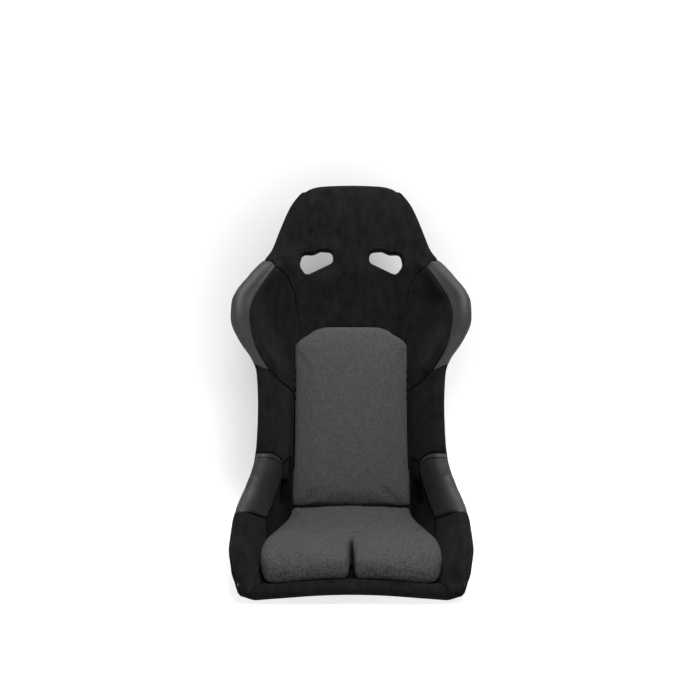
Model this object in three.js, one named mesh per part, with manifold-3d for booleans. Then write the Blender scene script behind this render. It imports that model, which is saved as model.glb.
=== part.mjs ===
// Racing bucket seat: a one-piece moulded shell with a fixed back, glued suede and leather pads,
// two lift-off cushions, belt openings, rubber edge trim and threaded side mounts.
// Millimetres, +Z up, the front faces -Y. The shell's middle line is drawn first in the (y, z) plane,
// from the front lip over the floor and up the back, and every section across it hangs on that line.

import * as THREE from 'three';
import { mergeVertices } from 'three/addons/utils/BufferGeometryUtils.js';
import Module from 'manifold-3d';

const wasm = await Module();
wasm.setup();

const rad = THREE.MathUtils.degToRad;
const { lerp } = THREE.MathUtils;

// ---------------------------------------------------------------- driving sizes
const gap = 0.3; // clearance between touching pieces
const shellWall = 4;

// Middle line, starting at the lower edge of the front lip.
const lipStart = { y: -380.7, z: 20 };
const lipHeading = 100;
const lipFlange = 13;
const lipRadius = 12;
const rampAngle = 8;
const rampLength = 135;
const rampFootRadius = 150;
const floorLength = 155;
const hipRadius = 95;
const recline = 15;
const backLength = 541;
const neckRadius = 400;
const headLean = 4.5;
const headLength = 196;
const headCurlRadius = 14;
const headCurlTurn = 98;
const headFlange = 9;

// Corners of the outline, and the outward roll of the rim.
const lipCornerRadius = 56;
const headCornerRadius = 58;
const rollEnd = 115;

// Edge trim, a rubber channel pushed over the flange.
const trimGrip = 4.5;
const trimWall = 2;
const padEdgeThickness = 2.5; // pads are drawn thin where they meet the trim

// Mounting runners bonded under the floor, with threaded inserts.
const runner = { x: 150, width: 46, draft: 4, front: -334, rear: 8, top: 58 };
const insert = {
  radius: 9, flangeRadius: 13, flange: 2.5, depth: 18, bore: 3.4, front: -305, spacing: 290, sides: 14,
};
const insertPlaces = [insert.front, insert.front + insert.spacing];

// Belt openings. Corners are [x, distance up the head, radius] and [y, z, radius].
const harnessHeight = 667;
const harnessCorners = [
  [114, -36.5, 13], [42, -1, 14], [45, 30.5, 15], [79, 32.5, 16], [98, 23, 20], [126, 23.5, 15], [136, -8, 22],
];
const lapCorners = [[-30, 92, 11], [8, 84, 11], [24, 142, 11], [-8, 156, 11]];
const strapSlot = { width: 80, length: 26, radius: 11, y: -285 };
const bezelLip = { width: 6, thickness: 2, wall: 2.4, recess: 2 };

// Seams between the pads. Front view [x, z] unless noted.
const neckSeamPoints = [[134, 440], [134, 505], [138, 560], [148, 615], [168, 656], [200, 692]];
const bolsterSeamPoints = [[186, 678], [218, 640], [240, 605], [246, 575], [241, 536], [227, 489], [198, 438]];
const armpitSeamPoints = [[100, 296], [144, 349], [175, 398], [198, 438], [240, 455], [330, 470]];
const backLinerOutline = [[150, 0], [150, 150], [144, 349], [134, 440]];
const thighTopSeam = [[-160, 282], [-60, 246], [-8, 206]]; // side view [y, z]
const thighInnerSeam = [[-14, 172], [-29, 149], [-60, 112], [-110, 82], [-165, 50], [-190, 0]]; // side view
const patchSeam = [[-60, 40], [-95, 85], [-215, 165], [-330, 242]]; // side view
const hipLinerTop = 196;
const lipSeam = { half: 200, y: -362 };
const baseLinerOutline = [[205, -362], [213, -310], [205, -230], [190, -160], [172, -95], [160, -20], [158, 60]];

// Seat cushion: [y, half width, height of the top at the middle].
const seatCushionRows = [
  [-377, 182, 75], [-375, 190, 91], [-368, 198, 102], [-354, 206, 108], [-330, 210, 110],
  [-290, 212, 109], [-240, 207, 106], [-200, 200, 102], [-160, 190, 97], [-120, 177, 94],
  [-80, 165, 91], [-40, 157, 89], [0, 152, 88], [50, 151, 87],
];
const seatCrown = 6;
const cushionSplit = { rear: -228, rearHalf: 2, front: -390, frontHalf: 8 };

// Back cushion: [distance up the back, half width, height of its face off the shell at the middle].
const backCushionRows = [
  [-75, 153, 35], [0, 152, 35], [70, 149, 35], [150, 146, 35], [240, 144, 35], [330, 145, 35],
  [385, 146, 34], [392, 142, 34], [412, 113, 33], [424, 97, 30], [430, 87, 24], [432, 80, 16],
];
const backCrown = 5;
const mitreAngle = 45;

// Hook and loop strips under the cushions.
const strip = { width: 50, thickness: 2, x: 70, baseFrom: -175, baseTo: -90, backFrom: 120, backTo: 300 };
const liftRoom = 4; // spare length of the pockets, so the cushions lift over the strips

// ---------------------------------------------------------------- middle line
function makeSpine(start, startHeading, steps) {
  const marks = {};
  const pieces = [];
  let [y, z, heading, distance] = [start.y, start.z, startHeading, 0];
  for (const step of steps) {
    const length = step.length ?? step.radius * rad(Math.abs(step.turn));
    pieces.push({ ...step, y, z, heading, from: distance, length });
    marks[step.name] = distance;
    if (step.length) {
      y += length * Math.cos(rad(heading));
      z += length * Math.sin(rad(heading));
    } else {
      const side = Math.sign(step.turn);
      const next = heading + step.turn;
      y += side * step.radius * (Math.sin(rad(next)) - Math.sin(rad(heading)));
      z -= side * step.radius * (Math.cos(rad(next)) - Math.cos(rad(heading)));
      heading = next;
    }
    distance += length;
  }
  marks.end = distance;

  function at(s) {
    const inside = pieces.findLast((piece) => piece.from <= s) ?? pieces[0];
    const along = s - inside.from;
    if (!inside.radius) {
      return {
        y: inside.y + along * Math.cos(rad(inside.heading)),
        z: inside.z + along * Math.sin(rad(inside.heading)),
        heading: inside.heading,
      };
    }
    const side = Math.sign(inside.turn);
    const turned = inside.heading + inside.turn * along / inside.length;
    return {
      y: inside.y + side * inside.radius * (Math.sin(rad(turned)) - Math.sin(rad(inside.heading))),
      z: inside.z - side * inside.radius * (Math.cos(rad(turned)) - Math.cos(rad(inside.heading))),
      heading: turned,
    };
  }

  // Distance at which one coordinate reaches a value, between two marks.
  function where(axis, value, from, to) {
    let [low, high] = [from, to];
    for (let turn = 0; turn < 40; turn += 1) {
      const middle = (low + high) / 2;
      if (at(middle)[axis] < value) low = middle;
      else high = middle;
    }
    return (low + high) / 2;
  }
  return { at, marks, where };
}

const spine = makeSpine(lipStart, lipHeading, [
  { name: 'lip', length: lipFlange },
  { name: 'lipCurl', radius: lipRadius, turn: -(lipHeading + rampAngle) },
  { name: 'ramp', length: rampLength },
  { name: 'rampFoot', radius: rampFootRadius, turn: rampAngle },
  { name: 'floor', length: floorLength },
  { name: 'hip', radius: hipRadius, turn: 90 - recline },
  { name: 'back', length: backLength },
  { name: 'neck', radius: neckRadius, turn: -headLean },
  { name: 'head', length: headLength },
  { name: 'headCurl', radius: headCurlRadius, turn: -headCurlTurn },
  { name: 'headFlange', length: headFlange },
]);
const mark = spine.marks;
const floorAt = (y) => spine.where('y', y, mark.ramp, mark.hip);
const bendAt = (share) => lerp(mark.hip, mark.back, share);
const backAt = (z) => spine.where('z', z, mark.back, mark.headCurl);

// Smooth curve through [distance, value] knots that never overshoots them.
function curveThrough(knots) {
  const slopes = knots.slice(1).map((knot, i) => (knot[1] - knots[i][1]) / (knot[0] - knots[i][0]));
  const tangents = knots.map((knot, i) => {
    if (i === 0) return slopes[0];
    if (i === knots.length - 1) return slopes[i - 1];
    if (slopes[i - 1] * slopes[i] <= 0) return 0;
    return 2 * slopes[i - 1] * slopes[i] / (slopes[i - 1] + slopes[i]);
  });
  return (s) => {
    if (s <= knots[0][0]) return knots[0][1];
    if (s >= knots.at(-1)[0]) return knots.at(-1)[1];
    const i = knots.findIndex((knot) => knot[0] > s) - 1;
    const span = knots[i + 1][0] - knots[i][0];
    const t = (s - knots[i][0]) / span;
    return (1 + 2 * t) * (1 - t) ** 2 * knots[i][1] + t * (1 - t) ** 2 * span * tangents[i]
      + t * t * (3 - 2 * t) * knots[i + 1][1] + t * t * (t - 1) * span * tangents[i + 1];
  };
}

// ---------------------------------------------------------------- sections across the middle line
// at: place along the line; flat: half width of the flat middle; half: half width where the rim starts
// to roll; rise: height of that place; flare: how far the wall leans outwards there, in degrees;
// roll: radius of the rim; edge: width of the flange past it; floor, side, rim: thickness of the pads on
// the flat, the wall and the rim.
const sections = [
  { at: 0, flat: 118, half: 256, rise: 0, flare: 60, roll: 4, edge: 5, floor: 10, side: 9, rim: 5 },
  { at: mark.lipCurl, flat: 122, half: 256, rise: 0, flare: 60, roll: 4, edge: 6, floor: 12, side: 10, rim: 7 },
  { at: mark.ramp, flat: 150, half: 254, rise: 12, flare: 50, roll: 7, edge: 8, floor: 10, side: 14, rim: 12 },
  { at: floorAt(-345), flat: 155, half: 255, rise: 30, flare: 42, roll: 8, edge: 10, floor: 4, side: 16, rim: 16 },
  { at: floorAt(-320), flat: 160, half: 260, rise: 47, flare: 36, roll: 8, edge: 10, floor: 4, side: 16, rim: 18 },
  { at: floorAt(-280), flat: 160, half: 264, rise: 63, flare: 30, roll: 8, edge: 10, floor: 4, side: 16, rim: 18 },
  { at: floorAt(-180), flat: 158, half: 263, rise: 92, flare: 24, roll: 8, edge: 10, floor: 4, side: 17, rim: 18 },
  { at: floorAt(-80), flat: 154, half: 248, rise: 124, flare: 20, roll: 8, edge: 10, floor: 4, side: 18, rim: 18 },
  { at: bendAt(0.35), flat: 152, half: 232, rise: 158, flare: 18, roll: 8, edge: 10, floor: 6, side: 18, rim: 18 },
  { at: bendAt(0.7), flat: 150, half: 224, rise: 162, flare: 20, roll: 8, edge: 10, floor: 8, side: 18, rim: 18 },
  { at: backAt(120), flat: 148, half: 217, rise: 144, flare: 24, roll: 8, edge: 10, floor: 10, side: 18, rim: 18 },
  { at: backAt(200), flat: 145, half: 212, rise: 124, flare: 30, roll: 8, edge: 10, floor: 10, side: 18, rim: 18 },
  { at: backAt(300), flat: 140, half: 210, rise: 105, flare: 34, roll: 8, edge: 10, floor: 10, side: 18, rim: 18 },
  { at: backAt(400), flat: 134, half: 214, rise: 98, flare: 36, roll: 8, edge: 10, floor: 10, side: 18, rim: 18 },
  { at: backAt(440), flat: 132, half: 229, rise: 108, flare: 36, roll: 8, edge: 10, floor: 10, side: 19, rim: 18 },
  { at: backAt(485), flat: 130, half: 257, rise: 124, flare: 36, roll: 8, edge: 10, floor: 11, side: 20, rim: 18 },
  { at: backAt(530), flat: 126, half: 275, rise: 130, flare: 36, roll: 8, edge: 10, floor: 13, side: 22, rim: 18 },
  { at: backAt(575), flat: 118, half: 274, rise: 121, flare: 38, roll: 8, edge: 10, floor: 18, side: 24, rim: 18 },
  { at: backAt(625), flat: 104, half: 241, rise: 88, flare: 42, roll: 8, edge: 10, floor: 26, side: 26, rim: 18 },
  { at: backAt(665), flat: 92, half: 200, rise: 50, flare: 48, roll: 8, edge: 10, floor: 30, side: 28, rim: 18 },
  { at: backAt(700), flat: 84, half: 182, rise: 26, flare: 56, roll: 8, edge: 9, floor: 32, side: 29, rim: 16 },
  { at: backAt(740), flat: 76, half: 168, rise: 17, flare: 62, roll: 8, edge: 8, floor: 33, side: 30, rim: 14 },
  { at: backAt(790), flat: 68, half: 149, rise: 12, flare: 66, roll: 7, edge: 7, floor: 34, side: 30, rim: 15 },
  { at: mark.headCurl, flat: 60, half: 130, rise: 6, flare: 66, roll: 6, edge: 6, floor: 24, side: 22, rim: 15 },
  { at: mark.headFlange, flat: 56, half: 125, rise: 0, flare: 62, roll: 4, edge: 5, floor: 8, side: 8, rim: 6 },
  { at: mark.end, flat: 56, half: 125, rise: 0, flare: 60, roll: 4, edge: 5, floor: 6, side: 6, rim: 4 },
];
const along = {};
for (const key of Object.keys(sections[0]).slice(1)) {
  along[key] = curveThrough(sections.map((section) => [section.at, section[key]]));
}

// Lean of the section planes from vertical towards the front. At both curls and above the waist they
// stand square to the middle line; round the hip they fan more slowly, so the walls don't fold.
const fan = curveThrough([
  [mark.ramp, -rampAngle],
  [floorAt(-330), -2],
  [floorAt(-280), 2],
  [floorAt(-180), 8],
  [floorAt(-80), 15],
  [bendAt(0.35), 23],
  [bendAt(0.7), 32],
  [backAt(120), 42],
  [backAt(200), 54],
  [backAt(300), 64],
  [backAt(400), 71],
  [backAt(480), 90 - recline],
]);
function leanAt(s) {
  const fanned = s > mark.ramp && s < backAt(480);
  return fanned ? fan(s) : spine.at(s).heading;
}

// Steps across one half of a section.
const flatSteps = 1;
const wallSteps = 4;
const rollSteps = 3;
const halfSteps = flatSteps + wallSteps + rollSteps + 1;

// Half a section, from the middle to the edge of the flange, as [across, up] pairs. The margin widens
// the flange, and fine multiplies the steps.
function halfSection(s, margin, fine = 1) {
  const flat = along.flat(s);
  const half = along.half(s);
  const rise = along.rise(s);
  const flare = rad(along.flare(s));
  const roll = along.roll(s);
  const points = [];
  for (let i = 0; i < flatSteps; i += 1) points.push([flat * i / flatSteps, 0]);

  const reach = Math.hypot(0.4 * (half - flat), rise) / 2;
  const wall = new THREE.CubicBezierCurve(
    new THREE.Vector2(flat, 0),
    new THREE.Vector2(flat + 0.6 * (half - flat), 0),
    new THREE.Vector2(half - Math.sin(flare) * reach, rise - Math.cos(flare) * reach),
    new THREE.Vector2(half, rise),
  );
  const wallPoints = wall.getPoints(wallSteps * fine);
  points.push(...wallPoints.map((point) => point.toArray()));

  const centre = [half + roll * Math.cos(flare), rise - roll * Math.sin(flare)];
  const end = rad(rollEnd);
  for (let i = 1; i <= rollSteps * fine; i += 1) {
    const angle = lerp(flare, end, i / (rollSteps * fine));
    points.push([centre[0] - roll * Math.cos(angle), centre[1] + roll * Math.sin(angle)]);
  }
  const [x, up] = points.at(-1);
  const flange = along.edge(s) + margin;
  points.push([x + flange * Math.sin(end), up + flange * Math.cos(end)]);
  return points;
}

// The lip is this much higher in its middle than towards its corners.
const lipArch = { height: 6, half: 220 };
function archAt(s, x) {
  const share = 1 - THREE.MathUtils.smoothstep(s, mark.lipCurl, mark.ramp + 25);
  return share * lipArch.height * Math.max(0, 1 - (x / lipArch.half) ** 2);
}

function onSection(s, [x, up]) {
  const { y, z } = spine.at(s);
  const lean = rad(leanAt(s));
  return new THREE.Vector3(x, y - up * Math.sin(lean), z + up * Math.cos(lean) + archAt(s, x));
}

// Where a line of points is at a distance from its last point.
function backFromEnd(points, distance) {
  let left = distance;
  for (let j = points.length - 1; j > 0; j -= 1) {
    const [outer, inner] = [points[j], points[j - 1]];
    const step = Math.hypot(outer[0] - inner[0], outer[1] - inner[1]);
    if (left <= step) return outer.map((value, axis) => lerp(value, inner[axis], left / step));
    left -= step;
  }
  return points[0];
}

// Bends the square corner of the grid into a round one: distances from an end and from the side edge go
// in, and those of the same point on the rounded sheet come out.
function roundCorner(fromEnd, fromSide, radius) {
  const a = 1 - fromEnd / radius;
  const b = 1 - fromSide / radius;
  if (a <= 0 || b <= 0) return [fromEnd, fromSide];
  return [radius * (1 - a * Math.sqrt(1 - b * b / 2)), radius * (1 - b * Math.sqrt(1 - a * a / 2))];
}

// One row of points across the whole shell.
const fineSection = 5;
function rowAt(s, margin = 0) {
  const section = halfSection(s, margin);
  const spans = section.slice(1).map(([x, up], j) => Math.hypot(x - section[j][0], up - section[j][1]));
  const half = section.map((point, j) => {
    const fromSide = spans.slice(j).reduce((sum, span) => sum + span, 0);
    const nearLip = s < mark.end / 2;
    const fromEnd = nearLip ? s + margin : mark.end + margin - s;
    const radius = margin + (nearLip ? lipCornerRadius : headCornerRadius);
    const [newEnd, newSide] = roundCorner(fromEnd, fromSide, radius);
    if (newSide === fromSide) return onSection(s, point);
    const place = nearLip ? newEnd - margin : mark.end + margin - newEnd;
    return onSection(place, backFromEnd(halfSection(place, margin, fineSection), newSide));
  });
  const mirrored = half.slice(1).reverse().map((point) => new THREE.Vector3(-point.x, point.y, point.z));
  return [...mirrored, ...half];
}

// Places of the rows: close together at the curls and corners, wider apart on the straights.
const thirds = [1 / 3, 2 / 3, 1];
const rowPlaces = [
  0, lipFlange / 2, lipFlange,
  ...thirds.map((share) => lerp(mark.lipCurl, mark.ramp, share)),
  ...[-352, -325, -285, -235, -180, -130].map(floorAt),
  ...[0, 0.25, 0.5, 0.75, 1].map(bendAt),
  ...[150, 200, 260, 320, 375, 412, 445, 478, 510, 542, 575, 608, 642, 678, 730, 790].map(backAt),
  mark.headCurl,
  ...thirds.map((share) => lerp(mark.headCurl, mark.headFlange, share)),
  mark.end,
];

// Unit normals of a grid of points, on the side of the occupant: the mean of the cells round each point.
function gridNormals(grid) {
  const normals = grid.map((row) => row.map(() => new THREE.Vector3()));
  for (let i = 0; i < grid.length - 1; i += 1) {
    for (let j = 0; j < grid[0].length - 1; j += 1) {
      const first = grid[i + 1][j + 1].clone().sub(grid[i][j]);
      const second = grid[i + 1][j].clone().sub(grid[i][j + 1]);
      const normal = first.cross(second).normalize();
      for (const [k, l] of [[i, j], [i + 1, j], [i, j + 1], [i + 1, j + 1]]) normals[k][l].add(normal);
    }
  }
  return normals.map((row) => row.map((normal) => normal.normalize()));
}

function offsetGrid(grid, normals, distance) {
  return grid.map((row, i) => row.map((point, j) => {
    const step = typeof distance === 'number' ? distance : distance(i, j);
    return point.clone().addScaledVector(normals[i][j], step);
  }));
}

// ---------------------------------------------------------------- solids
// Closed body between an upper and a lower grid of the same size.
function gridSolid(upper, lower) {
  const rows = upper.length;
  const columns = upper[0].length;
  const points = [...upper.flat(), ...lower.flat()];
  const top = (i, j) => i * columns + j;
  const bottom = (i, j) => rows * columns + top(i, j);
  const faces = [];
  const quad = (a, b, c, d) => faces.push(a, b, c, a, c, d);
  for (let i = 0; i < rows - 1; i += 1) {
    for (let j = 0; j < columns - 1; j += 1) {
      // Diagonals run from each corner of the grid towards its middle.
      if ((j < (columns - 1) / 2) !== (i < (rows - 1) / 2)) {
        quad(top(i, j + 1), top(i + 1, j + 1), top(i + 1, j), top(i, j));
        quad(bottom(i + 1, j), bottom(i + 1, j + 1), bottom(i, j + 1), bottom(i, j));
      } else {
        quad(top(i, j), top(i, j + 1), top(i + 1, j + 1), top(i + 1, j));
        quad(bottom(i, j), bottom(i + 1, j), bottom(i + 1, j + 1), bottom(i, j + 1));
      }
    }
    quad(top(i, 0), top(i + 1, 0), bottom(i + 1, 0), bottom(i, 0));
    quad(top(i, columns - 1), bottom(i, columns - 1), bottom(i + 1, columns - 1), top(i + 1, columns - 1));
  }
  for (let j = 0; j < columns - 1; j += 1) {
    quad(top(0, j), bottom(0, j), bottom(0, j + 1), top(0, j + 1));
    quad(top(rows - 1, j), top(rows - 1, j + 1), bottom(rows - 1, j + 1), bottom(rows - 1, j));
  }
  const geometry = new THREE.BufferGeometry();
  geometry.setAttribute('position', new THREE.Float32BufferAttribute(points.flatMap((p) => p.toArray()), 3));
  geometry.setIndex(faces);
  return geometry;
}

function toManifold(geometry) {
  const bare = geometry.clone();
  bare.deleteAttribute('normal');
  bare.deleteAttribute('uv');
  const merged = mergeVertices(bare, 1e-4);
  return new wasm.Manifold(new wasm.Mesh({
    numProp: 3,
    vertProperties: new Float32Array(merged.attributes.position.array),
    triVerts: new Uint32Array(merged.index.array),
  }));
}

// The largest connected body, without the slivers that a cut may leave.
function mainBody(solid) {
  return solid.decompose().reduce((best, body) => (body.volume() > best.volume() ? body : best));
}

function toGeometry(solid) {
  const mesh = solid.getMesh();
  const geometry = new THREE.BufferGeometry();
  geometry.setAttribute('position', new THREE.BufferAttribute(new Float32Array(mesh.vertProperties), 3));
  geometry.setIndex(new THREE.BufferAttribute(new Uint32Array(mesh.triVerts), 1));
  return geometry;
}

// Straight prism: an outline of [x, d] points drawn on a frame, from one height above it to another.
// A frame lies at a point of the (y, z) plane; d runs along its heading, and up is to the left of that.
function prism(outline, frame, from, to) {
  const shape = new THREE.Shape(outline.map(([x, d]) => new THREE.Vector2(x, d)));
  const geometry = new THREE.ExtrudeGeometry(shape, { depth: to - from, bevelEnabled: false });
  const heading = rad(frame.heading);
  const forwards = new THREE.Vector3(0, Math.cos(heading), Math.sin(heading));
  const up = new THREE.Vector3(0, -Math.sin(heading), Math.cos(heading));
  const place = new THREE.Matrix4().makeBasis(new THREE.Vector3(1, 0, 0), forwards, up);
  place.setPosition(0, frame.y + from * up.y, frame.z + from * up.z);
  return toManifold(geometry.applyMatrix4(place));
}
const frontView = { y: 0, z: 0, heading: 90 }; // outline [x, z]; heights run to the front, as -y
const planView = { y: 0, z: 0, heading: 0 }; // outline [x, y]; heights run up, as z

// Prism across the seat: an outline of [y, z] points, from one x to another.
function sidePrism(outline, from, to) {
  const shape = new THREE.Shape(outline.map(([y, z]) => new THREE.Vector2(y, z)));
  const geometry = new THREE.ExtrudeGeometry(shape, { depth: to - from, bevelEnabled: false });
  const place = new THREE.Matrix4().makeBasis(
    new THREE.Vector3(0, 1, 0),
    new THREE.Vector3(0, 0, 1),
    new THREE.Vector3(1, 0, 0),
  );
  place.setPosition(from, 0, 0);
  return toManifold(geometry.applyMatrix4(place));
}

// An outline grown by a distance on every side, or shrunk by a negative one.
function grow(outline, distance) {
  const count = outline.length;
  const turning = Math.sign(THREE.ShapeUtils.area(outline.map(([x, y]) => new THREE.Vector2(x, y))));
  return outline.map(([x, y], i) => {
    const [bx, by] = outline[(i + count - 1) % count];
    const [ax, ay] = outline[(i + 1) % count];
    const first = new THREE.Vector2(x - bx, y - by).normalize();
    const second = new THREE.Vector2(ax - x, ay - y).normalize();
    const normal = first.clone().add(second).normalize();
    const step = distance * turning / Math.max(normal.dot(first), 0.3);
    return [x + normal.y * step, y - normal.x * step];
  });
}

const rectangle = (x, width, from, to) => [
  [x - width / 2, from], [x + width / 2, from], [x + width / 2, to], [x - width / 2, to],
];

// Outline with every corner rounded: corners are [x, y, radius].
function rounded(corners, steps = 3) {
  const points = [];
  corners.forEach(([x, y, radius], i) => {
    const corner = new THREE.Vector2(x, y);
    const before = new THREE.Vector2(...corners[(i + corners.length - 1) % corners.length]).sub(corner);
    const after = new THREE.Vector2(...corners[(i + 1) % corners.length]).sub(corner);
    const angle = Math.acos(before.clone().normalize().dot(after.clone().normalize()));
    const cut = Math.min(radius / Math.tan(angle / 2), before.length() * 0.48, after.length() * 0.48);
    const curve = new THREE.QuadraticBezierCurve(
      corner.clone().addScaledVector(before.normalize(), cut),
      corner,
      corner.clone().addScaledVector(after.normalize(), cut),
    );
    points.push(...curve.getPoints(steps).map((point) => point.toArray()));
  });
  return points;
}

// Smooth line through a few points.
function smoothLine(points, steps) {
  const curve = new THREE.SplineCurve(points.map(([x, y]) => new THREE.Vector2(x, y)));
  return curve.getPoints(steps).map((point) => point.toArray());
}

const mirrorOutline = (outline) => outline.map(([x, ...rest]) => [-x, ...rest]).reverse();

function mirrored(geometry) {
  const copy = geometry.clone().scale(-1, 1, 1);
  const index = copy.index.array;
  for (let i = 0; i < index.length; i += 3) [index[i], index[i + 1]] = [index[i + 1], index[i]];
  return copy;
}

// ---------------------------------------------------------------- materials
const gelcoat = { color: 0x141416, roughness: 0.35, metalness: 0 };
const suede = { color: 0x1d1d1c, roughness: 0.95, metalness: 0 };
const leather = { color: 0x262626, roughness: 0.45, metalness: 0 };
const wovenCloth = { color: 0x4a4a48, roughness: 1, metalness: 0 };
const rubber = { color: 0x101010, roughness: 0.7, metalness: 0 };
const plastic = { color: 0x161616, roughness: 0.5, metalness: 0 };
const zincSteel = { color: 0xb5b7b8, roughness: 0.35, metalness: 1 };
const hookTape = { color: 0x202022, roughness: 1, metalness: 0 };

const seat = new THREE.Group();
function addPart(name, geometry, finish) {
  const mesh = new THREE.Mesh(geometry, new THREE.MeshStandardMaterial(finish));
  mesh.name = name;
  seat.add(mesh);
}
function addPair(name, geometry, finish) {
  addPart(`${name}_right`, geometry, finish);
  addPart(`${name}_left`, mirrored(geometry), finish);
}

// ---------------------------------------------------------------- surfaces of the shell and the pads
const skin = rowPlaces.map((s) => rowAt(s));
const skinNormals = gridNormals(skin);

function padThickness(i, j) {
  const s = rowPlaces[i];
  const step = Math.abs(j - halfSteps);
  const wallShare = THREE.MathUtils.smoothstep(step, flatSteps, flatSteps + 2.5);
  const rimShare = THREE.MathUtils.smoothstep(step, flatSteps + wallSteps - 3, flatSteps + wallSteps);
  const wall = lerp(along.floor(s), along.side(s), wallShare);
  const thick = lerp(wall, along.rim(s), rimShare);
  if (step === halfSteps) return padEdgeThickness;
  if (step === halfSteps - 1) return lerp(thick, padEdgeThickness, 0.35);
  return thick;
}
// Solid between two distances from the shell's inner face.
function layer(lower, upper) {
  return toManifold(gridSolid(
    offsetGrid(skin, skinNormals, upper),
    offsetGrid(skin, skinNormals, lower),
  ));
}
const onPads = (distance) => (i, j) => padThickness(i, j) + distance;

// The shell grown by the clearance on every side, to cut what lies on it.
const grownPlaces = [rowPlaces[0] - gap, ...rowPlaces.slice(1, -1), rowPlaces.at(-1) + gap];
const grownSkin = grownPlaces.map((s) => rowAt(s, gap));
const grownNormals = gridNormals(grownSkin);
const shellRoom = toManifold(gridSolid(
  offsetGrid(grownSkin, grownNormals, gap),
  offsetGrid(grownSkin, grownNormals, -shellWall - gap),
));

// ---------------------------------------------------------------- belt openings
const headFrame = spine.at(backAt(harnessHeight));
const harnessOutline = rounded(harnessCorners);
const lapOutline = rounded(lapCorners, 2);
const strapEnds = [strapSlot.y - strapSlot.length / 2, strapSlot.y + strapSlot.length / 2];
const strapCorners = rectangle(0, strapSlot.width, ...strapEnds).map((corner) => [...corner, strapSlot.radius]);
const strapOutline = rounded(strapCorners, 2);
const harnessHole = (outline) => prism(outline, headFrame, -40, 90);
const lapHole = (outline) => sidePrism(outline, 120, 300);
const strapHole = (outline) => prism(outline, planView, 0, 60);
const holeMakers = [
  (growth) => harnessHole(grow(harnessOutline, growth)),
  (growth) => harnessHole(grow(mirrorOutline(harnessOutline), growth)),
  (growth) => lapHole(grow(lapOutline, growth)),
  (growth) => sidePrism(grow(lapOutline, growth), -300, -120),
  (growth) => strapHole(grow(strapOutline, growth)),
];
const holes = holeMakers.map((maker) => maker(0)).reduce((sum, hole) => sum.add(hole));

// Lined opening, fitted from behind: a lip on the back of the shell round the hole, and a sleeve through
// shell and pad that ends just under the pad's face.
const bezelBack = -shellWall - gap - bezelLip.thickness;
const lipLayer = layer(bezelBack, -shellWall - gap);
const sleeveLayer = layer(bezelBack, onPads(-bezelLip.recess));
function bezel(maker) {
  const lip = lipLayer.intersect(maker(bezelLip.width));
  const sleeve = sleeveLayer.intersect(maker(-gap));
  return mainBody(lip.add(sleeve).subtract(maker(-gap - bezelLip.wall)));
}
addPair('harness_bezel', toGeometry(bezel(holeMakers[0])), plastic);
addPair('lap_belt_bezel', toGeometry(bezel(holeMakers[2])), plastic);
addPart('crotch_strap_bezel', toGeometry(bezel(holeMakers[4])), plastic);

// ---------------------------------------------------------------- shell and the runners under it
function runnerBlock(x) {
  const half = runner.width / 2;
  const wide = half + runner.draft;
  const outline = [[x - half, 0], [x + half, 0], [x + wide, runner.top], [x - wide, runner.top]];
  const block = prism(outline, frontView, -runner.rear, -runner.front);
  return insertSeats(x).reduce((body, hole) => body.subtract(hole), block);
}
function round(x, y, radius, from, to) {
  const ring = new THREE.CylinderGeometry(radius, radius, to - from, insert.sides);
  ring.rotateX(Math.PI / 2).translate(x, y, (from + to) / 2);
  return toManifold(ring);
}
function insertSeats(x) {
  return insertPlaces.map((y) => round(x, y, insert.radius + gap, -1, insert.depth + gap)
    .add(round(x, y, insert.flangeRadius + gap, -1, insert.flange + gap)));
}
const shellBody = toManifold(gridSolid(skin, offsetGrid(skin, skinNormals, -shellWall)));
addPart('shell', toGeometry(mainBody(shellBody.subtract(holes))), gelcoat);
const aboveRunners = layer(-shellWall - gap, runner.top);
addPair('mount_runner', toGeometry(mainBody(runnerBlock(runner.x).subtract(aboveRunners))), gelcoat);

function threadedInsert(x, y) {
  const profile = [
    [insert.bore, 0.3], [insert.flangeRadius, 0.3], [insert.flangeRadius, insert.flange],
    [insert.radius, insert.flange], [insert.radius, insert.depth], [insert.bore, insert.depth],
  ].map(([r, z]) => new THREE.Vector2(r, z));
  const turned = new THREE.LatheGeometry([...profile, profile[0]], insert.sides);
  turned.rotateX(Math.PI / 2).translate(x, y, 0);
  return turned;
}
for (const [side, x] of [['right', runner.x], ['left', -runner.x]]) {
  for (const [end, y] of [['front', insertPlaces[0]], ['rear', insertPlaces[1]]]) {
    addPart(`mount_insert_${end}_${side}`, threadedInsert(x, y), zincSteel);
  }
}

// ---------------------------------------------------------------- edge trim
// Closed loop of points round the edge of the shell, with its normals.
function edgeLoop() {
  const last = skin.length - 1;
  const end = skin[0].length - 1;
  const places = [
    ...skin.map((row, i) => [i, 0]),
    ...skin[0].slice(1).map((point, j) => [last, j + 1]),
    ...skin.slice(1).map((row, i) => [last - 1 - i, end]),
    ...skin[0].slice(2).map((point, j) => [0, end - 1 - j]),
  ];
  return places.map(([i, j]) => ({ point: skin[i][j], normal: skinNormals[i][j] }));
}

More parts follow.
